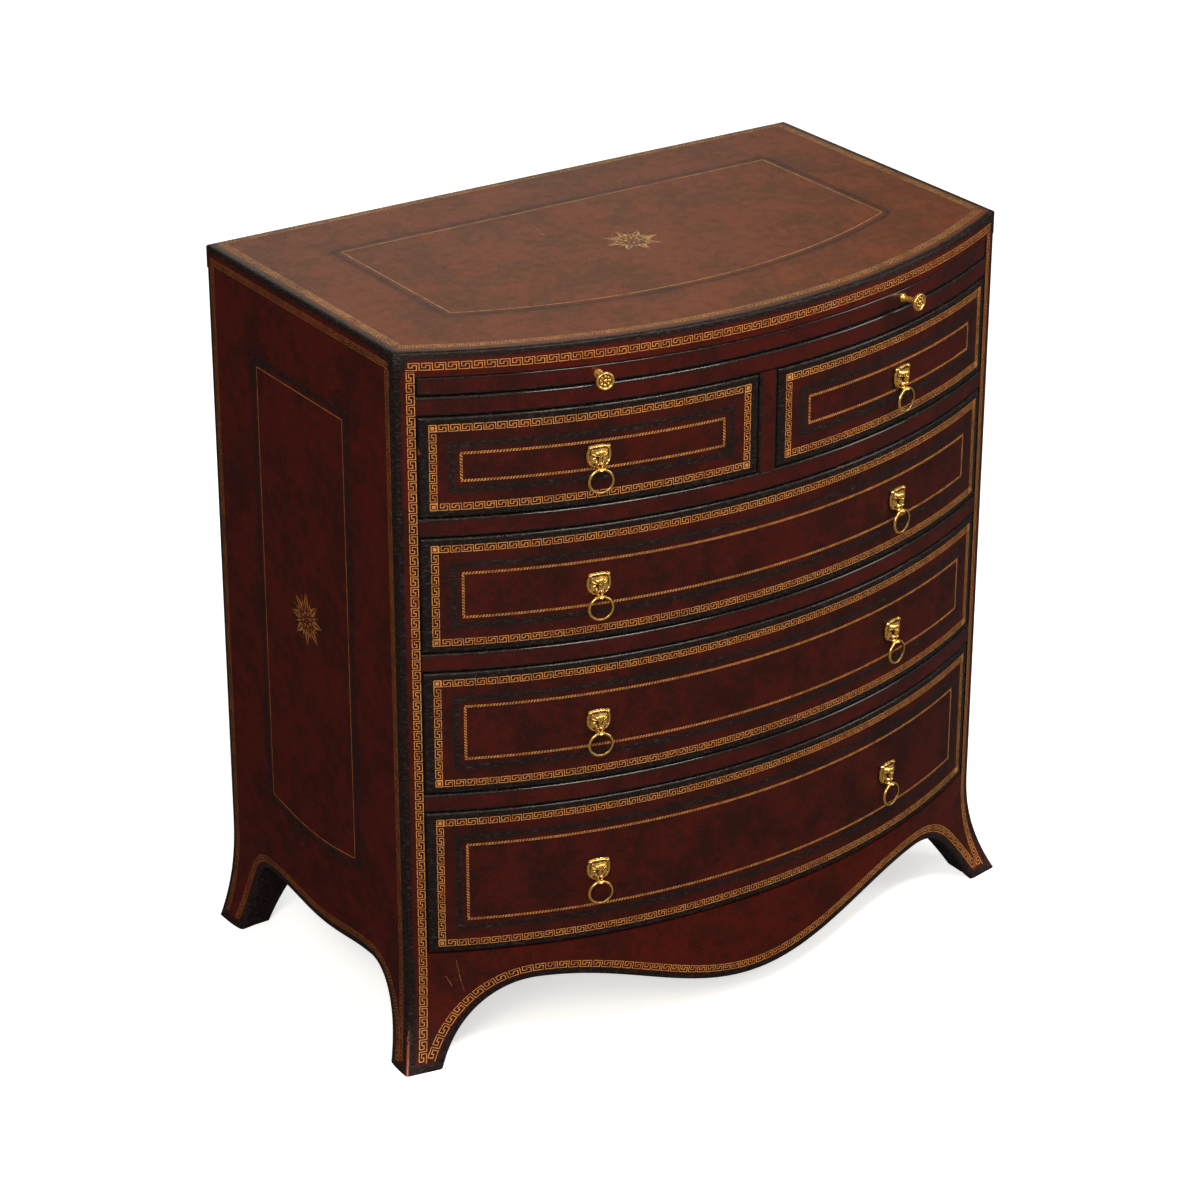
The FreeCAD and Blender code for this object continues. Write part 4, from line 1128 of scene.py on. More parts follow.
def corner_block(name, kinds, depth_end, hand):
    """The solid block between a foot's wings. Both arches run on through it, so it tapers to the toe."""
    overlap, gap, block_wide = 3 * mm, 0.2 * mm, 62 * mm
    arch_over, block_top = 90, 112
    z = np.concatenate([np.linspace(0, arch_over, 31), [block_top]]) * mm
    inner_x = np.maximum(arch_place(kinds[0], z), half - block_wide) + gap
    outer_x = half - thick + flare(z) * splay_side + 2 * mm
    if kinds[1] == "side":
        inner_y = np.minimum(arch_place("side", z), depth_end) - gap
        share = np.clip((half + 12 * mm * flare(z) - inner_x) / front_wing, 0, 1)
        splay = flare(z) * (1 - share) ** 1.5 * splay_front
        near = arc_y(half - share * front_wing, thick) - splay - overlap
        far = arc_y(half - thick, thick) - flare(z) * splay_front - overlap
    else:
        inner_y = np.maximum(arch_place("rear", z), depth_end) + gap
        near = far = back_y - thick + overlap + 0 * z
    loop = [(inner_x, near), (inner_x, inner_y), (outer_x, inner_y), (outer_x, far), (inner_x, near)]
    wall = np.stack([np.stack([x * hand, y, z], -1) for x, y in loop], axis=1)
    lids = [sheet(np.stack([wall[row, :2], wall[row, [3, 2]]]), 5 * mm) for row in (0, -1)]
    return piece(name, [sheet(wall, 5 * mm)] + lids, "case", [foot_leather])


for hand, word in ((1, "right"), (-1, "left")):
    corner_block("front_foot_block_" + word, ("front", "side"), corner_y + 44 * mm, hand)
    corner_block("rear_foot_block_" + word, ("back", "rear"), back_y - 66 * mm, hand)
print("corner blocks ready")

# %% Aprons
def apron(name, surface, a, low, hand, stands_for):
    """An apron: rows from its shaped lower edge to the top of the base."""
    turn = lip_round * (1 - np.cos(np.linspace(0, math.pi / 2, 6)))
    share = np.linspace(0, 1, 13)[1:]
    rise = (base_top - low)[:, None]
    up = np.concatenate([turn[None, :] + 0 * rise, turn[-1] + (rise - turn[-1]) * share], axis=1)
    z = low[:, None] + up
    flat = 1 / np.sqrt(1 + np.gradient(low, a) ** 2)[:, None]
    outer = sheet(surface(a[:, None], z, skin + rounding_depth(up, lip_round)), up * flat)
    inner = sheet(surface(a[:, None], z, thick), 0.0, far_off, 1)
    for s in (outer, inner):
        s["points"] = s["points"] * (hand, 1, 1)
    finishes = [case_leather, wood_across]
    return piece(name, boarded(outer, inner), "case", finishes, [stands_for])


def front_low(x):
    """Lower edge of the front apron: a cosine lobe that hangs down in the middle."""
    return front_crest - front_lobe * (1 + np.cos(math.pi * x / (half - front_wing))) / 2


def side_low(y):
    """Lower edge of a side apron: a shallow cosine lobe."""
    middle = (corner_y + side_wing + back_y - rear_wing) / 2
    reach = (back_y - rear_wing - corner_y - side_wing) / 2
    return side_crest - side_lobe * (1 + np.cos(math.pi * (y - middle) / reach)) / 2


def whole_front(x, z, depth=0.0):
    """The front of the base on both sides of the middle."""
    mirror = np.stack([np.where(x < 0, -1.0, 1.0) + 0 * z, 1 + 0 * x * z, 1 + 0 * x * z], -1)
    return front_base(np.abs(x), z, depth) * mirror


for hand, word in ((1, "right"), (-1, "left")):
    y = np.linspace(corner_y + side_wing, back_y - rear_wing, 41)
    apron("side_apron_leather_" + word, side_base, y, side_low(y), hand, "side_apron_" + word)
x = np.linspace(-(half - front_wing), half - front_wing, 81)
apron("front_apron_leather", whole_front, x, front_low(x), 1, "front_apron")
print("base ready")

# %% [markdown]
# ## The brushing slide
#
# It is a thin board that pulls out under the top, to brush clothes or write on. Its front edge follows the
# bow, so its rows run from the straight back to the curved lipping. Its upper face has leather and one gold
# line. Its edges show wood.

# %% Slide board
low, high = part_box("slide_board")
slide_front = slide_back + lipping_thick
x = edge_steps(low[0], high[0], 1 * mm, np.array([4, 8]) * mm, 20 * mm)
share = np.linspace(0, 1, 25)
x, share = np.meshgrid(x, share, indexing="ij")
y = high[1] + (arc_y(x, slide_front) - high[1]) * share
nearest = np.minimum(high[0] - np.abs(x), high[1] - y)
upper = sheet(np.stack([x, y, high[2] + 0 * x], -1), nearest + 2 * mm)
lower = sheet(np.stack([x, y, low[2] + 0 * x], -1), far_off, far_off, 1)
walls = boarded(upper, lower)
for wall in walls[2:]:
    wall["finish"] = 1
piece("slide_board_leather", walls, "slide", [slide_leather, wood_across], ["slide_board"])
print("slide board", len(x), "rows")

# %% [markdown]
# ## Gold tooling
#
# A binder rolls a heated wheel along a ruler, and the pattern repeats with the wheel. The same is done
# here: one repeat is a few flat quads in a plane, (distance along, distance across). A path carries them
# along the leather, and a surface function lays them on it. Real faces stay crisp at any distance, which a
# picture would not.

# %% Lines in a plane
def stroke(points, width):
    """Quads along a line of constant width.

    Each corner moves along the sum of its two normals, stretched by the mitre.
    """
    way = np.diff(points, axis=0)
    way = way / np.linalg.norm(way, axis=1, keepdims=True)
    normal = np.stack([-way[:, 1], way[:, 0]], -1)
    before, after = np.vstack([normal[:1], normal]), np.vstack([normal, normal[-1:]])
    mitre = (before + after) / (1 + (before * after).sum(axis=1, keepdims=True)) * width / 2
    left, right = points + mitre, points - mitre
    return np.stack([left[:-1], right[:-1], right[1:], left[1:]], axis=1)


def divided(points, step):
    """The same line with extra points, so that no part is longer than a step."""
    parts = []
    for a, b in zip(points[:-1], points[1:]):
        count = max(1, int(math.ceil(math.dist(a, b) / step)))
        parts.append(np.linspace(a, b, count, endpoint=False))
    return np.vstack(parts + [points[-1:]])


bent_line = np.array([(0, 0), (1, 0), (1, 1), (0, 1)], float)
print("a line with two corners has", len(stroke(bent_line, 0.1)), "quads")

# %% Key and rope
def greek_key(length, height, pitch=12 * mm, width=0.76 * mm, step=20 * mm):
    """A key border: one unbroken line that turns in on itself once each pitch."""
    turn_in = [(0, 0), (0.81, 0), (0.81, 0.69), (0.5, 0.69)]
    turn_out = [(0.5, 0.38), (0.2, 0.38), (0.2, 1), (1, 1)]
    turn_shares = np.array(turn_in + turn_out)
    count = max(1, int(round(length / pitch)))
    size = length / count
    repeats = np.stack([np.arange(count), np.zeros(count)], -1)
    line = (turn_shares[None] + repeats[:, None]).reshape(-1, 2)
    line = np.vstack([line, [count, 0]]) * (size, height - width) + (0, width / 2)
    return stroke(divided(line, step), width)


def rope(length, height=2.6 * mm, pitch=3.4 * mm):
    """A rope border: slanted dashes between two hairlines."""
    count = max(1, int(round(length / pitch)))
    size = length / count
    dash_shares = np.array([(0.0, 0.06), (0.44, 0.06), (1.04, 0.94), (0.60, 0.94)])
    dash = dash_shares * (size, height)
    dashes = dash[None] + (np.arange(count) * size)[:, None, None] * np.array([1.0, 0.0])
    line = divided(np.array([(0.0, 0.0), (length, 0.0)]), 12 * mm)
    hairlines = [stroke(line + (0, level * height), 0.16 * mm) for level in (0.03, 0.97)]
    return np.concatenate([dashes] + hairlines)


print("one metre of key has", len(greek_key(1.0, 8 * mm)), "quads, and of rope", len(rope(1.0)))

# %% Borders carried along paths
def carried(quads, path, across):
    """Quads bent along a path: place along it, plus distance across times the path's left normal."""
    run = np.append(0, np.cumsum(np.linalg.norm(np.diff(path, axis=0), axis=1)))
    way = np.gradient(path, run, axis=0)
    way = way / np.linalg.norm(way, axis=1, keepdims=True)
    u, v = quads[..., 0], quads[..., 1] + across
    place = np.stack([np.interp(u, run, path[:, k]) for k in (0, 1)], -1)
    along = np.stack([np.interp(u, run, way[:, k]) for k in (0, 1)], -1)
    return place + v[..., None] * np.stack([-along[..., 1], along[..., 0]], -1)


def path_length(path):
    """Length of a path."""
    return float(np.linalg.norm(np.diff(path, axis=0), axis=1).sum())


print("a carried path of", path_length(np.array([(0.0, 0.0), (0.3, 0.4)])), "m")

# %% Stamps and frames
def corner_stamp(size):
    """The stamp that covers a corner where two borders meet: a solid square inside a square ring."""
    square = np.array([(0, 0), (1, 0), (1, 1), (0, 1), (0, 0)], float)
    heart = (square[:4] * 0.54 + 0.23)[None] * size
    return np.concatenate([stroke(square * size, 1.05 * mm), heart])


def key_frame(a0, a1, b0, b1, height):
    """Key borders along a rectangle's sides, each on its outer edge, with a stamp on each corner."""
    corners = [(a0, b0), (a1, b0), (a1, b1), (a0, b1)]
    parts = []
    for i, start in enumerate(corners):
        path = np.linspace(start, corners[(i + 1) % 4], 40)
        trim = height + 0.5 * mm
        parts.append(carried(greek_key(path_length(path) - 2 * trim, height) + (trim, 0), path, 0.0))
        inward = (1 if start[0] == a0 else -1, 1 if start[1] == b0 else -1)
        stamp = corner_stamp(height - 0.8 * mm) + 0.4 * mm
        parts.append(stamp * inward + start)
    return parts


def rope_frame(a0, a1, b0, b1, height=2.6 * mm):
    """Rope borders along the four sides of a rectangle."""
    corners = [(a0, b0), (a1, b0), (a1, b1), (a0, b1)]
    parts = []
    for i, start in enumerate(corners):
        path = np.linspace(start, corners[(i + 1) % 4], 40)
        trim = 0 if i % 2 == 0 else height
        parts.append(carried(rope(path_length(path) - 2 * trim, height) + (trim, 0), path, 0.0))
    return parts


def star(radius):
    """An eight-pointed stamp: eight kites in two halves, eight leaves between, dots and a pierced heart."""
    def turned(shape, count, shift=0.0):
        """Copies of a shape, turned evenly round the star's heart."""
        angles = 2 * math.pi * (np.arange(count) + shift) / count
        c, s = np.cos(angles)[:, None], np.sin(angles)[:, None]
        x, y = shape[None, ..., 0], shape[None, ..., 1]
        return np.stack([x * c - y * s, x * s + y * c], -1)
    kite = np.array([(0.34, 0.02), (0.62, 0.03), (1.0, 0.012), (0.55, 0.155)])
    other = (kite * (1, -1))[::-1]
    heart = np.array([(0.15, 0.0), (0.24, -0.075), (0.33, 0.0), (0.24, 0.075)])
    leaf = np.array([(0.40, 0.0), (0.52, -0.05), (0.74, 0.0), (0.52, 0.05)])
    tip = np.array([(0.76, 0.0), (0.80, -0.022), (0.84, 0.0), (0.80, 0.022)])
    dot = np.array([(-0.03, 0.0), (0.0, -0.03), (0.03, 0.0), (0.0, 0.03)])
    parts = [turned(kite, 8), turned(other, 8)]
    parts += [turned(shape, 8, 0.5) for shape in (heart, leaf, tip)]
    parts += [turned(dot + (0.40, 0.16), 8), turned(dot + (0.40, -0.16), 8)]
    parts += [turned(dot + (0.08, 0), 5), turned(dot + (0.47, 0.0), 8)]
    around = 2 * math.pi * np.arange(33) / 32
    parts.append(stroke(np.stack([np.cos(around), np.sin(around)], -1) * 0.36, 0.022))
    return np.concatenate(parts) * radius


def gilding(name, parts, surface, body, material):
    """Gold leaf: all quads of a pattern laid on a surface."""
    quads = np.concatenate(parts)
    points = surface(quads[..., 0].ravel(), quads[..., 1].ravel())
    mesh = bpy.data.meshes.new(name)
    mesh.from_pydata(points.tolist(), [], np.arange(len(points)).reshape(-1, 4).tolist())
    mesh.materials.append(material)
    thing = bpy.data.objects.new(name, mesh)
    bpy.context.scene.collection.objects.link(thing)
    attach(thing, body)
    return thing


print("a star has", len(star(1.0)), "quads")

# %% Tooling of the drawers
for drawer in drawers:
    low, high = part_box(drawer + "_front")
    s0, s1 = along_bow(np.array([low[0], high[0]]))
    z0, z1 = low[2], high[2]
    end_inset, rise_inset, key_height = 10.2 * mm, 7.9 * mm, 7.9 * mm
    keys = key_frame(s0 + end_inset, s1 - end_inset, z0 + rise_inset, z1 - rise_inset, key_height)
    gilding(drawer + "_key_border", keys, on_front, drawer, front_gold)
    end_inset, rise_inset = 42.0 * mm, 39.2 * mm
    ropes = rope_frame(s0 + end_inset, s1 - end_inset, z0 + rise_inset, z1 - rise_inset)
    gilding(drawer + "_rope_line", ropes, on_front, drawer, front_gold)
print("tooled", len(drawers), "drawers")

# %% Tooling of the front of the case
def joined(*parts):
    """Several lines joined to one path."""
    return np.vstack([parts[0]] + [part[1:] for part in parts[1:]])


def base_or_case(a, z, depth=0.0):
    """The front's surface: the base below its top, the bow above. The place is plan x."""
    low_part = whole_front(a, np.minimum(z, base_top), depth)
    high_part = np.stack([a, arc_y(a, depth), z], -1)
    return np.where((z < base_top)[..., None], low_part, high_part)


def above_toe(kind):
    """The shares of an arch from 7 mm above the floor up to the crest."""
    crest, power = arches[kind][5:]
    return np.linspace(1 - (1 - 7 * mm / crest) ** (1 / power), 1, 40)


arch_x, arch_z = arch_edge(*arches["front"], above_toe("front"))
x = np.linspace(-(half - front_wing), half - front_wing, 120)
left_arch, right_arch = np.column_stack([-arch_x, arch_z]), np.column_stack([arch_x, arch_z])[::-1]
lower_front = joined(left_arch, np.column_stack([x, front_low(x)]), right_arch)
band, post_band, side_band = 8.4 * mm, 7.6 * mm, 7.6 * mm
key_gap = 11 * mm
under_top, post_end = 19.6 * mm, 21 * mm
arch_inset, toe_gap = 9 * mm, 9 * mm
low_parts = [carried(greek_key(path_length(lower_front), band, step=3 * mm), lower_front, arch_inset)]
parts = []
top_x = np.linspace(-(half - key_gap), half - key_gap, 200)
top_line = np.column_stack([top_x, np.full(200, case_top - under_top)])
parts.append(carried(greek_key(path_length(top_line), band, step=6 * mm), top_line, 0.0))
for hand in (1, -1):
    start_x = (half - key_gap) if hand == 1 else -(half - key_gap - post_band)
    post = np.column_stack([np.full(120, start_x), np.linspace(toe_gap, case_top - post_end, 120)])
    parts.append(carried(greek_key(path_length(post), post_band, step=6 * mm), post, 0.0))
gilding("case_front_key_border", parts, base_or_case, "case", front_gold)


def under_gold(depth):
    """The front's surface a little inside, so that one layer of gold never fights another."""
    return lambda x, z: base_or_case(x, z, depth)


gilding("front_apron_key_border", low_parts, under_gold(0.05 * mm), "case", front_gold)
print("front borders", len(np.concatenate(parts + low_parts)), "quads")

# %% Tooling of the sides
def side_surface(hand):
    """The surface of one side from plan y and height."""
    def surface(y, z):
        """The base below its top, the flat side above."""
        low_part = side_base(y, np.minimum(z, base_top)) * (hand, 1, 1)
        high_part = np.stack([np.full_like(y, hand * half), y, z], -1)
        return np.where((z < base_top)[..., None], low_part, high_part)
    return surface


fore_y, fore_z = arch_edge(*arches["side"], above_toe("side"))
aft_y, aft_z = arch_edge(*arches["rear"], above_toe("rear"))
y = np.linspace(corner_y + side_wing, back_y - rear_wing, 60)
fore_arch, aft_arch = np.column_stack([fore_y, fore_z]), np.column_stack([aft_y, aft_z])[::-1]
lower_side = joined(fore_arch, np.column_stack([y, side_low(y)]), aft_arch)
side_under_top, side_post_end = 21 * mm, 22 * mm
side_key = greek_key(path_length(lower_side), side_band, step=3 * mm)
side_parts = [carried(side_key, lower_side, arch_inset)]
front_line, back_line = corner_y + 9.5 * mm, back_y - 8 * mm
top_line = np.column_stack([np.linspace(front_line, back_line, 80), np.full(80, case_top - side_under_top)])
side_parts.append(carried(greek_key(path_length(top_line), side_band, step=6 * mm), top_line, 0.0))
for start_y in (front_line + side_band, back_line):
    post = np.column_stack([np.full(120, start_y), np.linspace(toe_gap, case_top - side_post_end, 120)])
    side_parts.append(carried(greek_key(path_length(post), side_band, step=6 * mm), post, 0.0))
sag_y = np.linspace(side_frame_rear, side_frame_front, 30)
sag_share = (sag_y - side_frame_front) / (side_frame_rear - side_frame_front)
sag = np.column_stack([sag_y, side_frame_low - side_frame_sag * np.sin(math.pi * sag_share)])
front_low_corner = (side_frame_front, side_frame_low)
high_corners = [(side_frame_front, side_frame_high), (side_frame_rear, side_frame_high)]
outline = np.vstack([[front_low_corner, *high_corners], sag])
side_parts.append(stroke(divided(outline, 10 * mm), 1.3 * mm))
side_star = (56 * mm, 460 * mm)
star_radius = 33 * mm
side_parts.append(star(star_radius) + side_star)
for hand, word in ((1, "right"), (-1, "left")):
    gilding("side_tooling_" + word, side_parts, side_surface(hand), "case", side_gold)
print("each side", len(np.concatenate(side_parts)), "quads")

# %% Tooling of the top
def flat_at(z):
    """A level surface at a height."""
    return lambda x, y: np.stack([x, y, np.full_like(x, z)], -1)


def bowed_line(reach, inward, count=80):
    """A line inside the front edge of the top, from left to right."""
    x = np.linspace(-reach, reach, count)
    return np.column_stack([x, arc_y(x) + inward / np.sqrt(1 - (x / bow_radius) ** 2)])


edge = half - 10.5 * mm
front_inset, back_inset = 13 * mm, 4 * mm
wheel = {"height": 8.6 * mm, "pitch": 11 * mm, "width": 0.9 * mm}
front = bowed_line(edge, front_inset)
back = np.column_stack([np.linspace(edge, -edge, 80), np.full(80, back_y - back_inset)])
top_parts = [carried(greek_key(path_length(path), step=4 * mm, **wheel), path, 0.0) for path in (front, back)]
for hand in (1, -1):
    ends = [arc_y(edge) + 24 * mm, back_y - 14 * mm]
    rise = np.linspace(*(ends if hand == 1 else ends[::-1]), 60)
    path = np.column_stack([np.full(60, hand * edge), rise])
    top_parts.append(carried(greek_key(path_length(path), step=6 * mm, **wheel), path, 0.0))
inner = bowed_line(top_frame_x, top_frame_front)
outline = np.vstack([inner, [(top_frame_x, top_frame_rear), (-top_frame_x, top_frame_rear)], inner[:1]])
top_parts.append(stroke(divided(outline, 12 * mm), 1.2 * mm))
top_parts.append(star(star_radius) + (0, 2 * mm))
gilding("top_tooling", top_parts, flat_at(case_top), "case", top_gold)
print("top tooling", len(np.concatenate(top_parts)), "quads")

# %% [markdown]
# ## Old scratches and the slide's gold line
#
# The photograph shows two thin cuts in the top and two in the left front foot. A cut has rough, pale
# leather in it. Noise would put it anywhere, so each one is a thin strip along its own few points.

# %% Scratches
top_cuts = [np.array([(-63.5, 113.1), (-66.2, 94.7), (-72.4, 67.0)]), np.array([(-101, 40), (-96, 22)])]
scratches = [stroke(divided(cut * mm, 4 * mm), 0.8 * mm) for cut in top_cuts]
gilding("top_scratches", scratches, flat_at(case_top), "case", scratched_hide)
foot_cuts = [
    np.array([(-348.0, 122.8), (-345.3, 104.4), (-340.5, 83.5)]),
    np.array([(-358.5, 104), (-352.8, 92.2)]),
]
scratches = [stroke(divided(cut * mm, 3 * mm), 0.7 * mm) for cut in foot_cuts]
gilding("foot_scratches", scratches, under_gold(0.02 * mm), "case", scratched_hide)
print("scratches", len(top_cuts) + len(foot_cuts))

# %% Gold line of the slide
low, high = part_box("slide_board")
line_x = high[0] - 14 * mm
line_back = high[1] - 20 * mm
x = np.linspace(-line_x, line_x, 60)
inner = np.column_stack([x, arc_y(x, slide_front + 12 * mm)])
outline = np.vstack([inner, [(line_x, line_back), (-line_x, line_back)], inner[:1]])
line_parts = [stroke(divided(outline, 12 * mm), 1.2 * mm)]
gilding("slide_gold_line", line_parts, flat_at(high[2] + 0.08 * mm), "slide", front_gold)
print("slide line", len(line_parts[0]), "quads")

# %% [markdown]
# ## Lion masks and rings
#
# Each pull is one small brass casting. It is sculpted as a height over the drawer, from soft bumps: brow,
# eyes, nose, cheeks and chin on a dome, inside a roped mane. Sculpting by hand would give more life, but a
# formula is small, and it repeats exactly, as a casting does. A ring hangs at the chin.

# %% Bumps and domes
def bump(p, q, place, size, rise, turn=0.0):
    """A soft bump: rise times e to the minus squared distance, measured in the bump's own two sizes."""
    c, s = math.cos(turn), math.sin(turn)
    along = ((p - place[0]) * c + (q - place[1]) * s) / size[0]
    across = (-(p - place[0]) * s + (q - place[1]) * c) / size[1]
    return rise * np.exp(-along ** 2 - across ** 2)


def both(p, q, place, size, rise, turn=0.0):
    """A pair of bumps, one each side of the nose."""
    return bump(p, q, place, size, rise, turn) + bump(-p, q, place, size, rise, turn)


def dome(p, q, place, size, rise, turn=0.0):
    """A broad bump with a round top: rise times e to the minus fourth power of the distance."""
    c, s = math.cos(turn), math.sin(turn)
    along = ((p - place[0]) * c + (q - place[1]) * s) / size[0]
    across = (-(p - place[0]) * s + (q - place[1]) * c) / size[1]
    return rise * np.exp(-(along ** 2 + across ** 2) ** 2)


print("a dome keeps", round(float(dome(0.5, 0, (0, 0), (1, 1), 1)), 3), "of its height half way out")

# %% The lion's outline
def near_angle(angle, place, width):
    """A soft hump round the outline at an angle."""
    return np.exp(-((np.mod(angle - place + math.pi, 2 * math.pi) - math.pi) / width) ** 2)


def lion_outline(angle):
    """Radius of the mask in millimetres: a rounded square above, round below, with ears and a chin."""
    c, s = np.abs(np.cos(angle)) / 13.9, np.abs(np.sin(angle)) / 13.6
    power = np.where(np.sin(angle) > 0, 3.4, 2.2)
    shape = 1 / (c ** power + s ** power) ** (1 / power)
    locks = 0.12 * np.cos(18 * angle)
    ears = 1.5 * (near_angle(angle, 0.83, 0.13) + near_angle(angle, math.pi - 0.83, 0.13))
    return shape + locks + ears + 2.0 * near_angle(angle, -math.pi / 2, 0.24)


print("mask radius", round(float(lion_outline(0.0)), 1), "mm at the cheek")

# %% The lion's relief
def lion_relief(p, q):
    """Height in millimetres at p across and q up: a shield, a roped mane and the forms of the face."""
    radius, angle = np.hypot(p, q), np.arctan2(q, p)
    share = np.clip(radius / lion_outline(angle), 0, 1)
    shield = 1.0 + 1.6 * np.sqrt(np.maximum(1 - share ** 2, 0))
    twist = 1.3 + 0.16 * np.abs(np.sin(9 * angle + 0.5 * radius * np.sign(p)))
    mane = twist * np.exp(-((share - 0.87) / 0.075) ** 2)
    skull = dome(p, q, (0, 1.0), (8.8, 9.4), 2.2)
    brow = dome(p, q, (0, 6.0), (8.6, 4.0), 5.2)
    ridge = 2.0 + 0.022 * p ** 2
    brow_line = 1.3 * np.exp(-((q - ridge) / 0.62) ** 2 - (p / 8.8) ** 6)
    brow_groove = 1.5 * np.exp(-((q - ridge - 1.35) / 0.5) ** 2 - (p / 8.4) ** 6)
    sockets = both(p, q, (4.6, -1.2), (3.4, 2.0), 1.5)
    eyes = both(p, q, (4.8, -1.4), (2.0, 0.8), 1.0, -0.25)
    nose = dome(p, q, (0, -2.6), (1.75, 5.4), 4.8)
    nose_tip = dome(p, q, (0, -6.4), (2.9, 1.6), 1.5)
    muzzle = both(p, q, (2.9, -8.3), (2.1, 2.9), 4.6, 0.2)
    parting = bump(p, q, (0, -9.8), (0.7, 2.0), 2.0)
    cheeks = both(p, q, (7.6, -5.6), (2.3, 3.6), 1.1, 0.3)
    chin = dome(p, q, (0, -12.9), (3.6, 3.1), 8.6)
    ears = both(p, q, (10.4, 10.9), (2.4, 2.2), 3.0)
    ear_hollows = both(p, q, (10.3, 10.6), (1.2, 1.2), 1.5)
    rise = shield + mane + skull + brow + brow_line - brow_groove - sockets + eyes + nose + nose_tip
    rise = rise + muzzle - parting + cheeks + chin + ears - ear_hollows
    return np.minimum(rise, 13.2 - 0.4 * np.exp(-np.maximum(rise - 12, 0)))


def relief_sheet():
    """The mask's front as a polar grid, its rim down to the drawer, and its flat back.

    Hollows get a number near one: how far a point lies under the mean of eight points round it.
    """
    angle = np.linspace(0, 2 * math.pi, 145)
    share = np.concatenate([np.linspace(0, 1, 60), [1.0, 0.0]])
    share, angle = np.meshgrid(share, angle, indexing="ij")
    radius = share * lion_outline(angle)
    p, q = radius * np.cos(angle), radius * np.sin(angle)
    rise = lion_relief(p, q)
    around = [
        lion_relief(p + 1.8 * math.cos(a), q + 1.8 * math.sin(a)) for a in np.linspace(0, 2 * math.pi, 9)[:-1]
    ]
    # The hollow number darkens the brass: tarnish, and painted shade in the recesses.
    hollow = np.clip((sum(around) / 8 - rise) / 0.70, 0, 0.9)
    rise[60:] = 0
    rise[:60] = np.maximum(rise[:60], 0.3)
    # The mask's edge and its rim down to the drawer are dark: tarnish, and painted shade where it meets the
    # drawer.
    hollow[59:] = 0.8
    return np.stack([p, q, rise], -1) * mm, hollow


mask_points, mask_hollow = relief_sheet()
print("mask stands", round(float(mask_points[..., 2].max()) / mm, 1), "mm off the drawer")

# %% Placing brass on the bow
pull_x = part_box("short_drawer_divider")[1][0]
pull_angle = (math.asin(opening_half / bow_radius) + math.asin(pull_x / bow_radius)) / 2


def placed_on_bow(points, angle, z, set_back=0.0):
    """Points made as (right, up, out) brought to the front at an angle round the bow's axis."""
    right = np.array([math.cos(angle), math.sin(angle), 0])
    out = np.array([math.sin(angle), -math.cos(angle), 0])
    heart = np.array([0, centre_y, z]) + out * (bow_radius - set_back)
    return heart + points[..., [0]] * right + points[..., [1]] * (0, 0, 1) + points[..., [2]] * out


def turned_sheet(profile, sides, hollow=0.1, wave=None):
    """A turned form: its profile of (radius, out) carried round, with an optional wave added to the front."""
    angle = np.linspace(0, 2 * math.pi, sides + 1)[None, :]
    r, out = profile[:, [0]], profile[:, [1]]
    extra = 0 if wave is None else wave(r, angle)
    points = np.stack([r * np.cos(angle), r * np.sin(angle), out + extra + 0 * angle], -1)
    return points, hollow + np.zeros(points.shape[:2])


print("pulls at", round(math.degrees(pull_angle), 2), "degrees round the bow")

# %% Rings, posts and nuts
ring_turn = np.linspace(0, 2 * math.pi, 65)[:, None]
wire_turn = np.linspace(0, 2 * math.pi, 17)[None, :]
ring_radius, wire_radius = 13.0 * mm, 1.5 * mm
ring_drop, ring_out = 25.5 * mm, 9 * mm
ring_reach = ring_radius + wire_radius * np.cos(wire_turn)
ring_points = np.stack([
    ring_reach * np.cos(ring_turn),
    ring_reach * np.sin(ring_turn) - ring_drop,
    ring_out + wire_radius * np.sin(wire_turn) + 0 * ring_turn,
], -1)
# The ring is a little dark all over and darker on the inner side of its wire: tarnish and painted shade.
ring_hollow = 0.25 + 0.5 * np.clip(-np.cos(wire_turn), 0, 1) + 0 * ring_turn
post = np.array([(0, 0.5), (2.0, 0.5), (2.0, -27.0), (0, -27.0)]) * mm
nut = np.array([(0, -20.1), (4.4, -20.1), (4.6, -20.6), (4.6, -23.0), (4.2, -23.6), (0, -23.6)]) * mm
mask_drop = 1.5 * mm
hand_words = {-1: "_left", 1: "_right"}
for drawer in drawers:
    low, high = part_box(drawer + "_front")
    z = (low[2] + high[2]) / 2 - mask_drop
    hands = {"short_left": [-1], "short_right": [1]}.get(drawer, [-1, 1])
    masks, hardware = [], []
    for hand in hands:
        angle = hand * pull_angle
        masks.append(sheet(placed_on_bow(mask_points, angle, z), mask_hollow))
        for profile, sides in ((post, 12), (nut, 6)):
            points, hollow = turned_sheet(profile, sides, 0.5)
            hardware.append(sheet(placed_on_bow(points, angle, z), hollow))
        ring_name = drawer + "_ring" + ("" if len(hands) == 1 else hand_words[hand])
        ring = sheet(placed_on_bow(ring_points, angle, z), ring_hollow)
        piece(ring_name + "_brass", [ring], ring_name, [cast_brass], [ring_name])
    piece(drawer + "_lion_masks", masks, drawer, [cast_brass], [drawer + "_masks"], 60)
    piece(drawer + "_posts_and_nuts", hardware, drawer, [cast_brass])
print("brass pulls ready")

# %% [markdown]
# ## Slide knobs
#
# Two small turned knobs. A turner cuts them from a profile, and so does this cell. The head has a raised rim,
# eight petals and a round boss, and its grooves are brown like the hollows of the masks, with tarnish and
# painted shade.

# %% Knobs
petal_radius, petal_width = 4.9, 1.5


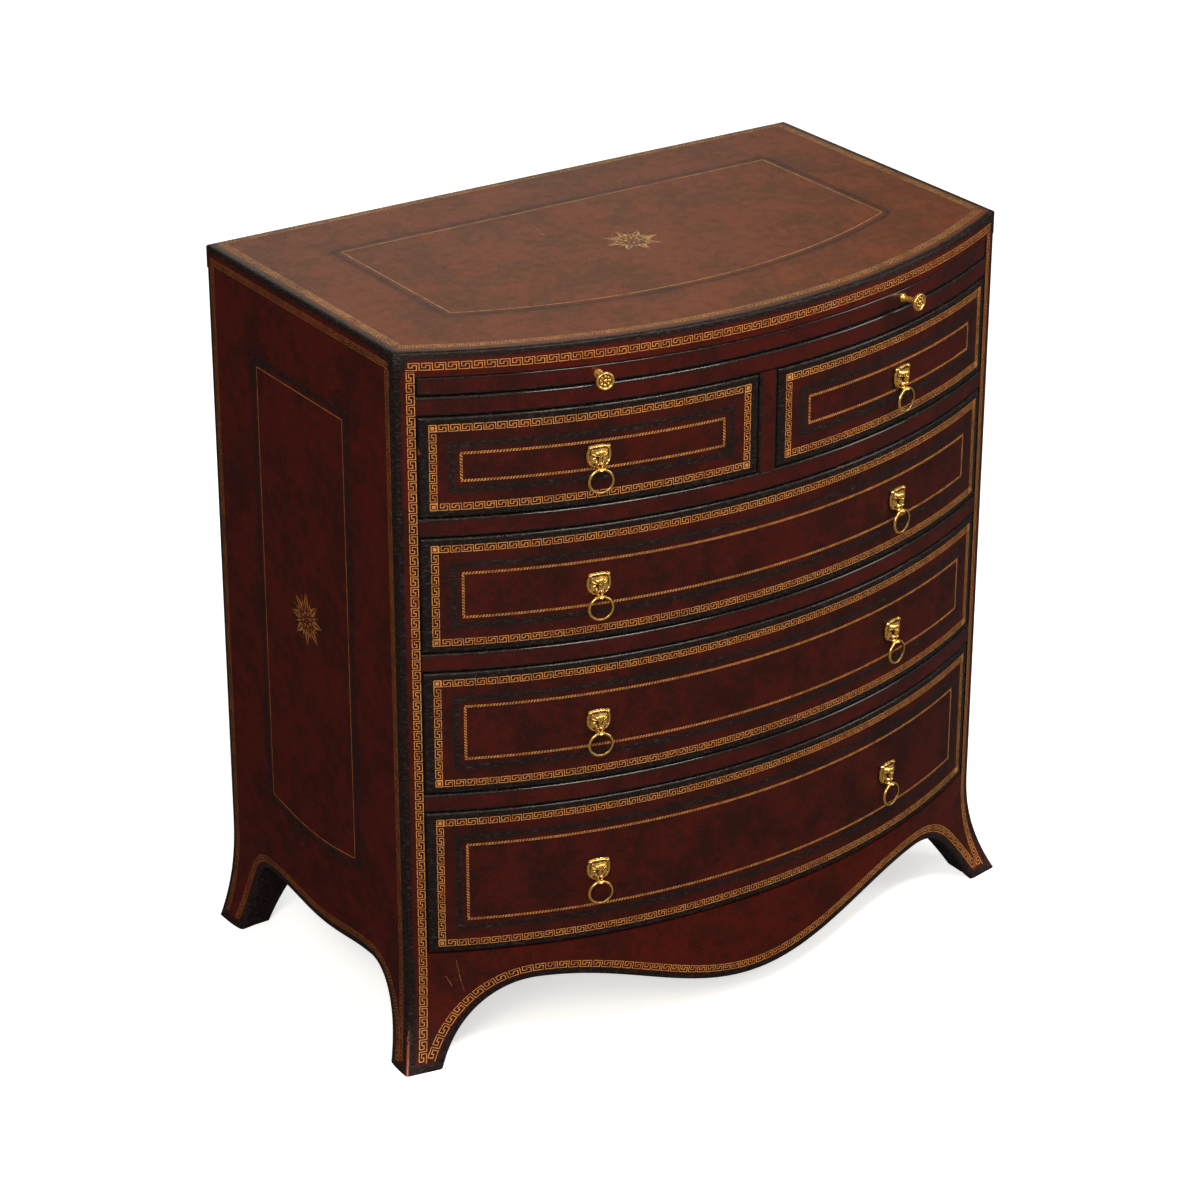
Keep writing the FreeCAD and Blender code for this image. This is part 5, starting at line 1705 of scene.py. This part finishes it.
def petals(r, angle):
    """Petals: eight lobes from the absolute cosine of four times the angle, only on the head's front."""
    lobe = np.abs(np.cos(4 * angle)) ** 0.7
    ring = np.exp(-((r / mm - petal_radius) / petal_width) ** 2)
    return 1.15 * mm * ring * lobe * front_share


head_from = 20
stem = [(0, -16), (2, -16), (2, 0), (5, 0), (5.1, 0.8), (4.6, 1.9), (3.5, 2.6), (3.15, 4.5), (3.05, 7.5)]
neck = [(3.15, 11), (3.4, 13.5), (4.4, 16.0), (6.6, 18.2), (8.9, 19.6), (9.8, 20.8), (10, 22.0), (9.75, 23.2)]
head_rim = [(9.2, 23.8), (8.5, 24.0), (7.8, 23.7), (7.3, 23.0), (7.0, 22.5)]
head_floor = [(6.2, 22.4), (5.6, 22.4), (4.9, 22.4), (4.2, 22.4), (3.5, 22.4), (2.8, 22.4)]
boss = [(2.3, 22.6), (2.1, 23.3), (1.6, 23.8), (0.9, 24.0), (0, 24.0)]
outline = np.array(stem + neck + head_rim + head_floor + boss) * mm
front_share = (np.arange(len(outline)) > head_from)[:, None] * 1.0
knob_points, knob_hollow = turned_sheet(outline, 96, 0.1, petals)
# Grooves and the valleys between the petals are dark: tarnish and painted shade.
out_from_axis = outline[:, [0]] / mm
for groove_radius, groove_width in ((6.9, 0.7), (2.6, 0.5)):
    groove = np.exp(-((out_from_axis - groove_radius) / groove_width) ** 2)
    knob_hollow = knob_hollow + groove * front_share * 0.8
valley = 1 - np.abs(np.cos(4 * np.linspace(0, 2 * math.pi, 97)))[None, :] ** 0.7
petal_ring = np.exp(-((out_from_axis - petal_radius) / petal_width) ** 2)
knob_hollow = knob_hollow + valley * petal_ring * front_share * 0.9
knob_hollow = np.clip(knob_hollow, 0, 1)
low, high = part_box("slide_knobs")
knob_z = (low[2] + high[2]) / 2
knobs = []
for hand in (-1, 1):
    points = placed_on_bow(knob_points, hand * pull_angle, knob_z, slide_back)
    knobs.append(sheet(points, knob_hollow))
piece("slide_knobs_brass", knobs, "slide", [cast_brass], ["slide_knobs"], 60)
print("brass ready")
